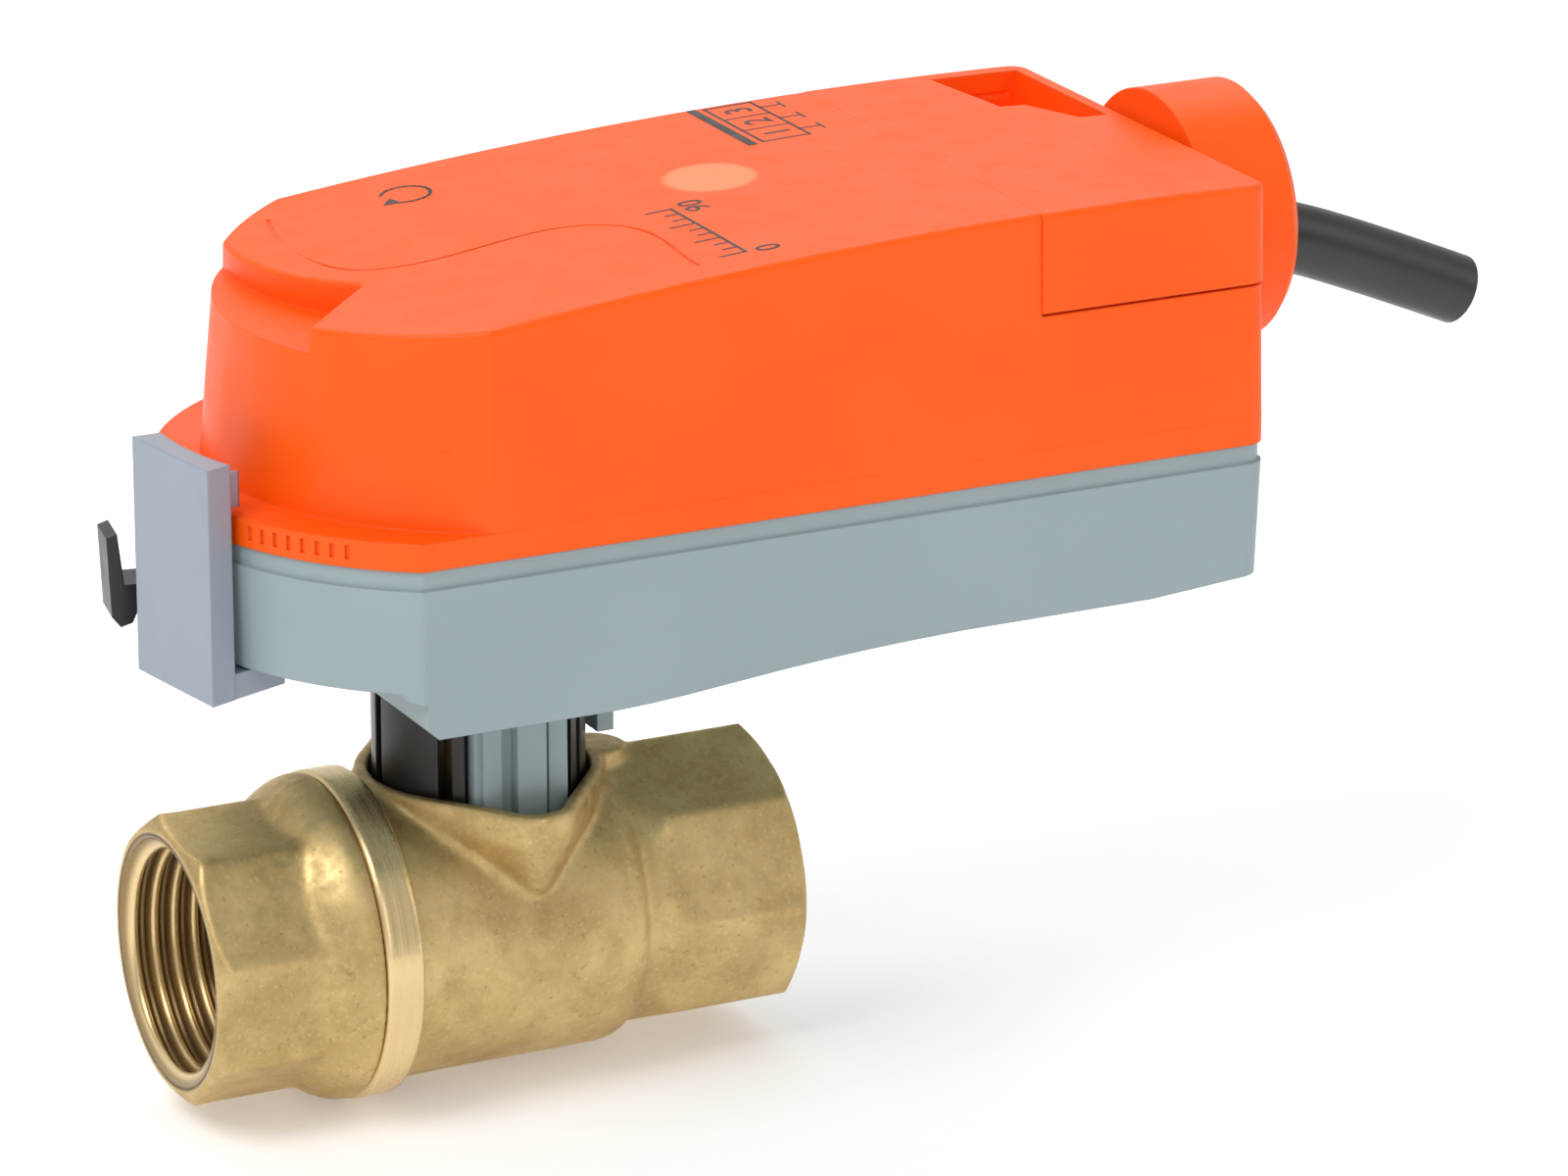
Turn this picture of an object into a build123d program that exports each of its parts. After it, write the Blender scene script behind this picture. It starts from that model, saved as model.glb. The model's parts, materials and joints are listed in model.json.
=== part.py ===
"""A DN15 zone valve: a forged brass ball valve with a snap-on electric rotary actuator.

Millimetres. The origin is the centre of the inlet mouth on the pipe axis, +X runs along the
pipe to the outlet and the cable end, and +Z runs up the stem. Every x below is measured from
the stem axis, and level() and SIDE turn it into a place in that frame.
"""

import math
import os

from build123d import *

os.makedirs("parts", exist_ok=True)

# ---------------------------------------------------------------- driving dimensions
INLET_X = -28.4
OUTLET_X = 24.9

# Rp 1/2 pipe thread in both ports
THREAD_MINOR_R = 9.315
THREAD_ROOT_R = 10.35
THREAD_PITCH = 1.814
THREAD_TURNS = 7
PORT_DEPTH = 13.6
FIRST_GROOVE = 1.2
GROOVE_HALF_WIDTH = 0.24
GROOVE_ROOT_HALF = 0.06
MOUTH_CHAMFER = 0.45

# valve outside
CONNECTOR_FLATS = 22.7
CONNECTOR_TURN = 7.9
OUTLET_FLATS = 23.2
RING_R = 13.9
RING_X = (-14.5, -11.1)
BARREL_R = 12.8
BARREL_END_X = 10.7
SPIGOT_R = 10.2
SPIGOT_END_X = -9.0

# ball, seats and stem
BALL_R = 8.0
BALL_BORE_R = 4.8
CHAMBER_R = 9.0
CHAMBER_END_X = 8.4
WATERWAY_R = 5.4
SEAT_GAP = 0.15
STEM_R = 2.8
STEM_FIT = 0.06
STEM_FLATS = 4.0
STEM_TOP_Z = 31.0
BOSS_R = 5.6
BOSS_TOP_Z = 17.0
COLLAR_TOP_Z = 13.1
COLLAR_FLOOR_Z = 10.6

# actuator housing
NOSE_R = 26.5
HALF_WIDTH = 22.2
END_X = 62.8
CORNER_R = 2.0
WALL = 1.8
NOSE_FLOOR_Z = 28.0
SKIRT_X = -14.0
SKIRT_Z = 24.0
TRAY_FLOOR_Z = 27.9
BAND_Z = 36.8
SPLIT_Z = 38.4
FLANGE_Z = 40.8
CREASE_X = -8.2
NOSE_LOW_X = -22.5
NOSE_TOP_X = -20.2
TOP_Z = 60.9
TOP_ARC_R = 486.0
TOP_ARC_X = 50.0
LOFT_TOP_Z = 62.0
TOP_INSET = 0.5
TOP_EDGE_R = 0.52
TOP_EDGE_Z = 55.0
TOP_EDGE_HEIGHT = 8.0
NOTCH_Z = 54.0
LID_X = 41.2
LID_Z = 52.4
SEAM = 0.25

# cable end
SNOUT_R = 11.2
SNOUT_Z = 52.2
SNOUT_END_X = 72.0
SNOUT_NECK_R = 4.8
SNOUT_FLANGE_R = 5.3
CABLE_R = 3.1
CABLE_Z = 50.9
CLAMP_X = 55.6

# gear train: teeth and module of each mesh, and the height band of each wheel
OUT_TEETH, OUT_MODULE = 48, 0.7
WHEEL2_TEETH, WHEEL2_MODULE = 30, 0.6
WHEEL1_TEETH, WHEEL1_MODULE = 36, 0.6
PINION_TEETH = 12
OUT_Z = (31.0, 34.2)
WHEEL2_Z = (35.4, 37.8)
WHEEL1_Z = (39.0, 41.0)
AXLE_R = 1.0
AXLE_FIT = 0.05
PLATE_Z = (41.8, 42.8)
MESH_BACKLASH = 0.12

AXLE2_X = (OUT_TEETH + PINION_TEETH) * OUT_MODULE / 2
AXLE2 = (AXLE2_X, 0.0)
TURN1 = math.radians(35)
REACH1 = (WHEEL2_TEETH + PINION_TEETH) * WHEEL2_MODULE / 2
AXLE1 = (AXLE2_X + REACH1 * math.cos(TURN1), REACH1 * math.sin(TURN1))
TURN0 = math.radians(-18)
REACH0 = (WHEEL1_TEETH + PINION_TEETH) * WHEEL1_MODULE / 2
MOTOR = (AXLE1[0] + REACH0 * math.cos(TURN0), AXLE1[1] + REACH0 * math.sin(TURN0))
MOTOR_R = 8.6
MOTOR_Z = (28.0, 38.2)

# flow limit clip and release lever on the nose, angles from +X about the stem
CLIP_R = (27.3, 29.7)
CLIP_ANGLES = (178.0, 200.4)
CLIP_Z = (25.5, 45.4)
LEVER_ANGLE = 169.0

PROUD = 0.15
LABEL_LINE = [
    (-10.9, 17.0),
    (-12.5, 9.5),
    (-12.1, 3.7),
    (-10.3, -0.3),
    (-6.6, -2.2),
    (0.9, -2.1),
    (9.0, -2.9),
    (11.6, -5.7),
    (12.3, -10.4),
    (11.8, -18.3),
]
LABEL_LINE_WIDTH = 0.3
LABEL_LINE_DEPTH = 0.14
FINGER_FLOOR_Z = 57.4
FINGER_FLOOR_THICK = 1.1
LEG_Z = 11.2
SCREW_SEAT_Z = 29.0
SCREW_R = 1.42
SCREW_HEAD_R = 2.7
SCREW_SPOTS = [(-10.0, 17.9), (-10.0, -17.9), (58.0, 17.9), (58.0, -17.9)]
PLATE_PILLARS = [(-14.6, 12.6), (-14.6, -12.6), (19.5, 16.5), (19.5, -16.5)]
BOARD_POSTS = [(55.0, 12.0), (55.0, -12.0)]
BOARD_Z = (43.4, 45.0)
BULKHEAD_X = (LID_X - 1.7, LID_X - 0.15)

STEM_X = -INLET_X
SIDE = Plane(origin=(STEM_X, 0, 0), x_dir=(1, 0, 0), z_dir=(0, -1, 0))
PIPE_AXIS = Axis((0, 0, 0), (1, 0, 0))
STEM_AXIS = Axis((STEM_X, 0, 0), (0, 0, 1))


def level(z, x=0.0, y=0.0):
    """A horizontal plane at height z, centred x and y from the stem axis."""
    return Plane(origin=(STEM_X + x, y, z))


def across(x, y=0.0, z=0.0):
    """A plane square to the pipe, x from the stem axis, with local x along +Y."""
    return Plane(origin=(STEM_X + x, y, z), x_dir=(0, 1, 0), z_dir=(1, 0, 0))


def save(part, name):
    part.label = name
    export_step(part, f"parts/{name}.step")


def thread_grooves(mouth_x, inward):
    """Narrow profiles of the thread's grooves, from the mouth inwards, to be revolved about the pipe."""
    with BuildSketch(SIDE, mode=Mode.PRIVATE) as grooves:
        for turn in range(THREAD_TURNS):
            middle = mouth_x + inward * (FIRST_GROOVE + turn * THREAD_PITCH)
            with BuildLine():
                Polyline(
                    (middle - GROOVE_HALF_WIDTH, THREAD_MINOR_R - 0.3),
                    (middle - GROOVE_HALF_WIDTH, THREAD_MINOR_R),
                    (middle - GROOVE_ROOT_HALF, THREAD_ROOT_R),
                    (middle + GROOVE_ROOT_HALF, THREAD_ROOT_R),
                    (middle + GROOVE_HALF_WIDTH, THREAD_MINOR_R),
                    (middle + GROOVE_HALF_WIDTH, THREAD_MINOR_R - 0.3),
                    close=True,
                )
            make_face()
    return grooves.sketch


def rhombus(side_r, tip_r, tip_y=11.0):
    """A round middle drawn out to a small rounded tip on each side, as one hull."""
    with BuildSketch(mode=Mode.PRIVATE) as shape:
        Circle(side_r)
        with Locations((0, tip_y), (0, -tip_y)):
            Circle(tip_r)
        make_hull()
    return shape.sketch


# ---------------------------------------------------------------- valve body
# outlet port, an octagon with its corners turned off at the mouth and at the root
with BuildPart() as outlet_block:
    with BuildSketch(across(6.0)):
        RegularPolygon(OUTLET_FLATS / 2, 8, major_radius=False, rotation=0)
    extrude(amount=OUTLET_X - 6.0)
    with BuildSketch(SIDE):
        with BuildLine():
            Polyline(
                (6.0, 0),
                (6.0, 11.4),
                (12.0, 11.7),
                (14.2, 12.9),
                (OUTLET_X - 0.9, 12.9),
                (OUTLET_X, 11.6),
                (OUTLET_X, 0),
                (6.0, 0),
            )
        make_face()
    revolve(axis=PIPE_AXIS, mode=Mode.INTERSECT)

with BuildPart() as valve_body:
    with BuildSketch(SIDE) as profile:
        with BuildLine():
            Polyline(
                (RING_X[0], 0),
                (RING_X[0], RING_R - 0.3),
                (RING_X[0] + 0.3, RING_R),
                (RING_X[1] - 0.3, RING_R),
                (RING_X[1], RING_R - 0.3),
                (RING_X[1], BARREL_R + 0.1),
                (-5.0, BARREL_R),
                (BARREL_END_X - 2.6, BARREL_R),
            )
            shoulder = JernArc((BARREL_END_X - 2.6, BARREL_R), (1, 0), 2.6, -80)
            Polyline(shoulder @ 1, (BARREL_END_X + 1.2, 10.3), (BARREL_END_X + 1.2, 0), (RING_X[0], 0))
        make_face()
    revolve(axis=PIPE_AXIS)
    add(outlet_block.part)
    # rhombic collar round the stem, with a raised boss inside its pocket
    with BuildSketch(level(COLLAR_TOP_Z)):
        add(rhombus(10.5, 3.6))
    extrude(amount=-2.8)
    with BuildSketch(level(COLLAR_TOP_Z - 2.8)):
        add(rhombus(10.5, 3.6))
    extrude(amount=-5.0, taper=25)
    with BuildSketch(level(COLLAR_TOP_Z, x=10.6)):
        SlotOverall(5.6, 5.4)
    extrude(amount=-3.0)
    with BuildSketch(level(COLLAR_FLOOR_Z)):
        add(rhombus(9.3, 2.4))
    extrude(amount=4.0, mode=Mode.SUBTRACT)
    with BuildSketch(level(COLLAR_FLOOR_Z - 0.5)):
        Circle(BOSS_R)
    extrude(amount=BOSS_TOP_Z - COLLAR_FLOOR_Z + 0.5)
    # waterway, ball chamber and the mouth that the end connector screws into
    with BuildSketch(SIDE):
        with BuildLine():
            Polyline(
                (RING_X[0] - 1, 0),
                (RING_X[0] - 1, SPIGOT_R + 0.1),
                (SPIGOT_END_X, SPIGOT_R + 0.1),
                (SPIGOT_END_X, CHAMBER_R),
                (CHAMBER_END_X, CHAMBER_R),
                (CHAMBER_END_X, WATERWAY_R),
                (OUTLET_X - PORT_DEPTH - 1.2, WATERWAY_R),
                (OUTLET_X - PORT_DEPTH, THREAD_MINOR_R - 0.8),
                (OUTLET_X - PORT_DEPTH, THREAD_MINOR_R),
                (OUTLET_X - MOUTH_CHAMFER, THREAD_MINOR_R),
                (OUTLET_X, THREAD_ROOT_R + 0.3),
                (OUTLET_X + 0.3, THREAD_ROOT_R + 0.3),
                (OUTLET_X + 0.3, 0),
                (RING_X[0] - 1, 0),
            )
        make_face()
    revolve(axis=PIPE_AXIS, mode=Mode.SUBTRACT)
    revolve(thread_grooves(OUTLET_X, -1), axis=PIPE_AXIS, mode=Mode.SUBTRACT)
    # stem passage: the collar seat below, the running bore above
    with BuildSketch(level(5.0)):
        Circle(4.35)
    extrude(amount=4.9, mode=Mode.SUBTRACT)
    with BuildSketch(level(5.0)):
        Circle(STEM_R + STEM_FIT)
    extrude(amount=BOSS_TOP_Z, mode=Mode.SUBTRACT)
save(valve_body.part, "valve_body")

# ---------------------------------------------------------------- end connector
with BuildPart() as end_connector:
    with BuildSketch(across(INLET_X)):
        RegularPolygon(CONNECTOR_FLATS / 2, 8, major_radius=False, rotation=22.5 + CONNECTOR_TURN)
    extrude(amount=11.5)
    with BuildSketch(SIDE):
        with BuildLine():
            Polyline(
                (INLET_X, 0),
                (INLET_X, 11.2),
                (INLET_X + 0.8, 12.3),
                (INLET_X + 11.5, 12.3),
                (INLET_X + 11.5, 0),
                (INLET_X, 0),
            )
        make_face()
    revolve(axis=PIPE_AXIS, mode=Mode.INTERSECT)
    with BuildSketch(SIDE):
        with BuildLine():
            Polyline((-20.4, 0), (-20.4, 10.9), (-19.2, 11.5))
            Spline((-19.2, 11.5), (-17.4, 13.0), (-15.6, 13.75))
            Polyline(
                (-15.6, 13.75),
                (RING_X[0] - 0.05, 13.75),
                (RING_X[0] - 0.05, SPIGOT_R),
                (SPIGOT_END_X - 0.05, SPIGOT_R),
                (SPIGOT_END_X - 0.05, 0),
                (-20.4, 0),
            )
        make_face()
    revolve(axis=PIPE_AXIS)
    with BuildSketch(SIDE):
        with BuildLine():
            Polyline(
                (INLET_X - 0.3, 0),
                (INLET_X - 0.3, THREAD_ROOT_R + 0.3),
                (INLET_X, THREAD_ROOT_R + 0.3),
                (INLET_X + MOUTH_CHAMFER, THREAD_MINOR_R),
                (INLET_X + PORT_DEPTH, THREAD_MINOR_R),
                (INLET_X + PORT_DEPTH, THREAD_MINOR_R - 0.8),
                (INLET_X + PORT_DEPTH + 2.4, WATERWAY_R),
                (SPIGOT_END_X + 1, WATERWAY_R),
                (SPIGOT_END_X + 1, 0),
                (INLET_X - 0.3, 0),
            )
        make_face()
    revolve(axis=PIPE_AXIS, mode=Mode.SUBTRACT)
    revolve(thread_grooves(INLET_X, 1), axis=PIPE_AXIS, mode=Mode.SUBTRACT)
    # groove for the joint seal behind the spigot's first threads
    with BuildSketch(SIDE):
        with Locations((-10.6, SPIGOT_R)):
            Rectangle(1.5, 1.9)
    revolve(axis=PIPE_AXIS, mode=Mode.SUBTRACT)
save(end_connector.part, "end_connector")

with BuildPart() as joint_seal:
    with BuildSketch(SIDE):
        with Locations((-10.6, SPIGOT_R - 0.42)):
            Circle(0.45)
    revolve(axis=PIPE_AXIS)
save(joint_seal.part, "joint_seal")

# ---------------------------------------------------------------- seats, ball and stem
SEAT_R = 7.6
with BuildPart() as seat_rings:
    for back_x, inward in ((SPIGOT_END_X + 0.05, 1), (CHAMBER_END_X - 0.05, -1)):
        front_x = -inward * 5.2
        with BuildSketch(SIDE):
            with BuildLine():
                Polyline(
                    (back_x, WATERWAY_R),
                    (front_x, WATERWAY_R),
                    (front_x, CHAMBER_R - 0.1),
                    (back_x, CHAMBER_R - 0.1),
                    close=True,
                )
            make_face()
            with Locations((back_x, SEAT_R)):
                Rectangle(2.1, 1.1, mode=Mode.SUBTRACT)
            Circle(BALL_R + SEAT_GAP, mode=Mode.SUBTRACT)
        revolve(axis=PIPE_AXIS)
save(seat_rings.part, "seat_rings")

with BuildPart() as seat_seals:
    for seal_x in (SPIGOT_END_X + 0.55, CHAMBER_END_X - 0.55):
        with BuildSketch(SIDE):
            with Locations((seal_x, SEAT_R)):
                Circle(0.45)
        revolve(axis=PIPE_AXIS)
save(seat_seals.part, "seat_seals")

with BuildPart() as ball:
    with Locations((STEM_X, 0, 0)):
        Sphere(BALL_R)
    with BuildSketch(across(-BALL_R - 1)):
        Circle(BALL_BORE_R)
    extrude(amount=2 * BALL_R + 2, mode=Mode.SUBTRACT)
    with BuildSketch(level(5.9)):
        Rectangle(2.5, 2 * BALL_R)
    extrude(amount=3.0, mode=Mode.SUBTRACT)
save(ball.part, "ball")

ORING_Z = (12.2, 14.8)
with BuildPart() as stem:
    with BuildSketch(level(6.0)):
        Rectangle(2.3, 7.6)
    extrude(amount=2.4)
    with BuildSketch(level(8.3)):
        Circle(4.1)
    extrude(amount=1.1)
    with BuildSketch(level(9.3)):
        Circle(STEM_R)
    extrude(amount=19.4 - 9.3)
    with BuildSketch(level(19.3)):
        Circle(STEM_R)
        Rectangle(STEM_FLATS, 2 * STEM_R + 1, mode=Mode.INTERSECT)
    extrude(amount=STEM_TOP_Z - 19.3)
    for ring_z in ORING_Z:
        with BuildSketch(level(ring_z - 0.55)):
            Circle(STEM_R + 0.2)
            Circle(STEM_R - 0.9, mode=Mode.SUBTRACT)
        extrude(amount=1.1, mode=Mode.SUBTRACT)
save(stem.part, "stem")

with BuildPart() as stem_seals:
    for ring_z in ORING_Z:
        with BuildSketch(SIDE):
            with Locations((2.36, ring_z)):
                Circle(0.43)
        revolve(axis=STEM_AXIS)
save(stem_seals.part, "stem_seals")

with BuildPart() as thrust_washer:
    with BuildSketch(level(9.45)):
        Circle(4.2)
        Circle(STEM_R + 0.1, mode=Mode.SUBTRACT)
    extrude(amount=0.42)
save(thrust_washer.part, "thrust_washer")


# ---------------------------------------------------------------- housing outlines
def base_outline(inset=0.0):
    """Plan of the base and the flange: round nose about the stem, straight sides, square end."""
    half = HALF_WIDTH - inset
    nose = NOSE_R - inset
    corner = -math.sqrt(nose**2 - half**2)
    with BuildSketch(mode=Mode.PRIVATE) as plan:
        with BuildLine():
            ThreePointArc((corner, -half), (-nose, 0), (corner, half))
            Polyline((corner, half), (END_X - inset, half), (END_X - inset, -half), (corner, -half))
        make_face()
        fillet(plan.vertices().sort_by(Axis.X)[-2:], max(CORNER_R - inset, 0.5))
    return plan.sketch


def shell_outline(nose_x, inset):
    """Plan of the tall cover at one height: a crease where the long sides meet the nose."""
    half = HALF_WIDTH - inset
    with BuildSketch(mode=Mode.PRIVATE) as plan:
        with BuildLine():
            ThreePointArc((CREASE_X, -half), (nose_x, 0), (CREASE_X, half))
            Polyline((CREASE_X, half), (END_X - inset, half), (END_X - inset, -half), (CREASE_X, -half))
        make_face()
        fillet(plan.vertices().sort_by(Axis.X)[-2:], max(CORNER_R - inset, 0.5))
    return plan.sketch


def above_arch(drop):
    """Everything above the long arc of the top, seen from the side."""
    with BuildSketch(SIDE, mode=Mode.PRIVATE) as region:
        with BuildLine():
            ThreePointArc(
                (-40, TOP_Z - drop - 90**2 / (2 * TOP_ARC_R)),
                (TOP_ARC_X, TOP_Z - drop),
                (100, TOP_Z - drop - 50**2 / (2 * TOP_ARC_R)),
            )
            Polyline(
                (100, TOP_Z - drop - 50**2 / (2 * TOP_ARC_R)),
                (100, 80),
                (-40, 80),
                (-40, TOP_Z - drop - 90**2 / (2 * TOP_ARC_R)),
            )
        make_face()
    return region.sketch


def tall_block(inset, floor_z, drop, grow=0.0):
    """The cover's drafted outer form, or its cavity when it is inset, under the arched top."""
    with BuildPart(mode=Mode.PRIVATE) as block:
        with BuildSketch(level(floor_z)):
            add(shell_outline(NOSE_LOW_X + inset - grow, inset - grow))
        with BuildSketch(level(LOFT_TOP_Z)):
            add(shell_outline(NOSE_TOP_X + inset - grow, inset + TOP_INSET - grow))
        loft()
        extrude(above_arch(drop), amount=40, both=True, mode=Mode.SUBTRACT)
    return block.part


def soften_top(block):
    """The same block with its upper outside edges rounded."""
    edges = [
        edge
        for edge in block.edges()
        if edge.center().Z > TOP_EDGE_Z and edge.bounding_box().size.Z < TOP_EDGE_HEIGHT
    ]
    return block.fillet(TOP_EDGE_R, edges)


def notch_prism(shift, floor_z):
    """The step in the nose: outside a round wall, and across to the near side's full height."""
    with BuildPart(mode=Mode.PRIVATE) as prism:
        with BuildSketch(level(floor_z)):
            with BuildLine():
                ThreePointArc((-11.3 + shift, -3.6 - shift), (-16.2 + shift, 8.6), (-11.6 + shift, 24))
                Polyline(
                    (-11.6 + shift, 24),
                    (-30, 24),
                    (-30, -19.4 - shift),
                    (-11.3 + shift, -3.6 - shift),
                )
            make_face()
        extrude(amount=12)
    return prism.part


# ---------------------------------------------------------------- base
with BuildPart() as base_housing:
    with BuildSketch(level(BAND_Z)):
        add(base_outline())
    extrude(amount=SKIRT_Z - BAND_Z - 1.0, taper=2.2)
    with BuildSketch(level(BAND_Z)):
        add(base_outline(0.3))
    extrude(amount=SPLIT_Z - BAND_Z)
    with BuildSketch(SIDE):
        with BuildLine():
            Polyline(
                (-40, 10),
                (-40, NOSE_FLOOR_Z),
                (SKIRT_X - 1.6, NOSE_FLOOR_Z),
                (SKIRT_X - 1.3, NOSE_FLOOR_Z - 0.7),
                (SKIRT_X, NOSE_FLOOR_Z - 1.0),
                (SKIRT_X, SKIRT_Z + 0.9),
                (SKIRT_X + 0.9, SKIRT_Z),
                (1, SKIRT_Z),
            )
            Spline((1, SKIRT_Z), (16, 25.05), (34, 26.05), tangents=((1, 0.0), (1, 0.02)))
            Polyline((34, 26.05), (52, 26.1), (80, 28.2), (80, 10), (-40, 10))
        make_face()
    extrude(amount=40, both=True, mode=Mode.SUBTRACT)
    # inside of the tray
    with BuildSketch(level(NOSE_FLOOR_Z + WALL)):
        add(base_outline(WALL + 0.3))
    extrude(amount=12, mode=Mode.SUBTRACT)
    with BuildSketch(level(TRAY_FLOOR_Z)):
        with Locations(((SKIRT_X + END_X) / 2, 0)):
            Rectangle(END_X - SKIRT_X - 2 * WALL - 0.6, 2 * (HALF_WIDTH - WALL - 0.5))
    extrude(amount=4, mode=Mode.SUBTRACT)
    # boss over the stem, with the hole for the output bush
    with BuildSketch(level(TRAY_FLOOR_Z - 1.0)):
        Circle(8.4)
    extrude(amount=3.0)
    with BuildSketch(level(SKIRT_Z - 1)):
        Circle(6.5)
    extrude(amount=10, mode=Mode.SUBTRACT)
    # sockets for the axle pins and the motor, and pillars for the screws
    for spot in (AXLE2, AXLE1):
        with BuildSketch(level(TRAY_FLOOR_Z - 0.5, *spot)):
            Circle(2.0)
        extrude(amount=2.6)
        with BuildSketch(level(TRAY_FLOOR_Z, *spot)):
            Circle(AXLE_R)
        extrude(amount=4, mode=Mode.SUBTRACT)
    for x, y in SCREW_SPOTS:
        with BuildSketch(level(SCREW_SEAT_Z - 2.0, x, y)):
            Circle(3.9)
        extrude(amount=3.6)
        with BuildSketch(level(SCREW_SEAT_Z, x, y)):
            Circle(2.6)
        extrude(amount=SPLIT_Z - SCREW_SEAT_Z)
        with BuildSketch(level(SKIRT_Z - 1, x, y)):
            Circle(1.75)
        extrude(amount=20, mode=Mode.SUBTRACT)
        with BuildSketch(level(SKIRT_Z - 1, x, y)):
            Circle(SCREW_HEAD_R + 0.2)
        extrude(amount=SCREW_SEAT_Z - SKIRT_Z + 1, mode=Mode.SUBTRACT)
    for spot in BOARD_POSTS:
        with BuildSketch(level(TRAY_FLOOR_Z - 0.5, *spot)):
            Circle(1.5)
        extrude(amount=BOARD_Z[0] - TRAY_FLOOR_Z + 0.45)
    for spot in PLATE_PILLARS:
        foot_z = (NOSE_FLOOR_Z if spot[0] < SKIRT_X else TRAY_FLOOR_Z - 1) + 0.8
        with BuildSketch(level(foot_z, *spot)):
            Circle(1.4)
        extrude(amount=PLATE_Z[0] - foot_z - 0.05)
        with BuildSketch(level(PLATE_Z[0] - 7, *spot)):
            Circle(0.75)
        extrude(amount=10, mode=Mode.SUBTRACT)
    # two ribbed legs that drop into the collar's pocket, and one short stop on the outlet side
    for side in (-1, 1):
        with BuildSketch(level(LEG_Z)):
            with Locations((-0.2, side * 8.3)):
                Rectangle(8.4, 1.5)
            with Locations((-3.0, side * 8.9), (2.9, side * 8.9)):
                Rectangle(1.7, 1.4)
            with Locations((0.2, side * 9.3)):
                Rectangle(2.6, 2.2)
        extrude(amount=SKIRT_Z + 1.0 - LEG_Z)
    with BuildSketch(level(15.0, x=10.4)):
        Rectangle(1.5, 5.6)
    extrude(amount=SKIRT_Z + 1.0 - 15.0)
    # window for the release lever's arm
    with BuildSketch(level(29.9).rotated((0, 0, LEVER_ANGLE))):
        with Locations((NOSE_R - 1.5, 0)):
            Rectangle(6, 4.5)
    extrude(amount=2.3, mode=Mode.SUBTRACT)
save(base_housing.part, "base_housing")

# ---------------------------------------------------------------- cover
cover_cavity = tall_block(WALL, SPLIT_Z, WALL) - notch_prism(WALL, NOTCH_Z - WALL)
with BuildPart() as bulkhead_slice:
    with BuildSketch(level(LID_Z - 6, x=sum(BULKHEAD_X) / 2)):
        Rectangle(BULKHEAD_X[1] - BULKHEAD_X[0], 60)
    extrude(amount=20)
bulkhead = tall_block(WALL - 0.2, SPLIT_Z, WALL - 0.2) & bulkhead_slice.part
cover_block = soften_top(tall_block(0.0, FLANGE_Z - 0.6, 0.0) - notch_prism(0.0, NOTCH_Z))

# a fine line moulded into the top, around the nose end and across to the near side
with BuildPart() as label_band:
    with BuildSketch(level(TOP_Z - 4)):
        with BuildLine():
            Spline(*LABEL_LINE)
        trace(line_width=LABEL_LINE_WIDTH)
    extrude(amount=8)
with BuildPart() as label_depth:
    extrude(above_arch(LABEL_LINE_DEPTH), amount=40, both=True)
label_line = label_band.part & label_depth.part

with BuildPart() as cover:
    with BuildSketch(level(SPLIT_Z + 0.05)):
        add(base_outline())
    extrude(amount=FLANGE_Z - SPLIT_Z - 0.05)
    add(cover_block)
    # cavity, stepped in under the notch
    add(cover_cavity, mode=Mode.SUBTRACT)
    add(label_line, mode=Mode.SUBTRACT)
    # the lid's seat: everything above the seam beyond the lid's edge
    with BuildSketch(level(LID_Z - SEAM, x=(LID_X + END_X) / 2 + 5)):
        Rectangle(END_X - LID_X + 10, 2 * HALF_WIDTH + 6)
    extrude(amount=20, mode=Mode.SUBTRACT)
    add(bulkhead)
    # round opening for the cable snout's neck, shared with the lid
    with BuildSketch(across(END_X - 5, z=CABLE_Z)):
        Circle(SNOUT_NECK_R + 0.15)
    extrude(amount=8, mode=Mode.SUBTRACT)
    # shallow round dish on the top
    with Locations((STEM_X + 22.9, 2.6, TOP_Z - 0.9 + 13.5)):
        Sphere(13.5, mode=Mode.SUBTRACT)
    # pillars that the screws bite into
    for x, y in SCREW_SPOTS:
        with BuildSketch(level(SPLIT_Z + 0.05, x, y)):
            Circle(2.7)
        extrude(amount=9.0)
        with BuildSketch(level(SPLIT_Z - 1, x, y)):
            Circle(SCREW_R + 0.08)
        extrude(amount=9.0, mode=Mode.SUBTRACT)
    # setting marks on the flange, beside the flow limit clip
    for mark in range(8):
        angle = 203.0 + 2.9 * mark
        with BuildSketch(level(39.1).rotated((0, 0, angle))):
            with Locations((NOSE_R, 0)):
                Rectangle(0.5, 0.4)
        extrude(amount=1.2, mode=Mode.SUBTRACT)
save(cover.part, "cover")

# ---------------------------------------------------------------- terminal lid
with BuildPart() as lid_zone:
    with BuildSketch(level(LID_Z, x=(LID_X + END_X) / 2 + 5)):
        Rectangle(END_X - LID_X + 10, 2 * HALF_WIDTH + 6)
    extrude(amount=20)
with BuildPart() as hollow_zone:
    with BuildSketch(level(LID_Z - 1, x=(LID_X + END_X) / 2 + 5 + WALL)):
        Rectangle(END_X - LID_X + 10, 2 * HALF_WIDTH + 6)
    extrude(amount=20)
lid_outside = soften_top(tall_block(0.0, FLANGE_Z - 0.6, 0.0, grow=PROUD)) & lid_zone.part
lid_shell = lid_outside - (tall_block(WALL, SPLIT_Z, WALL) & hollow_zone.part)

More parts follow.
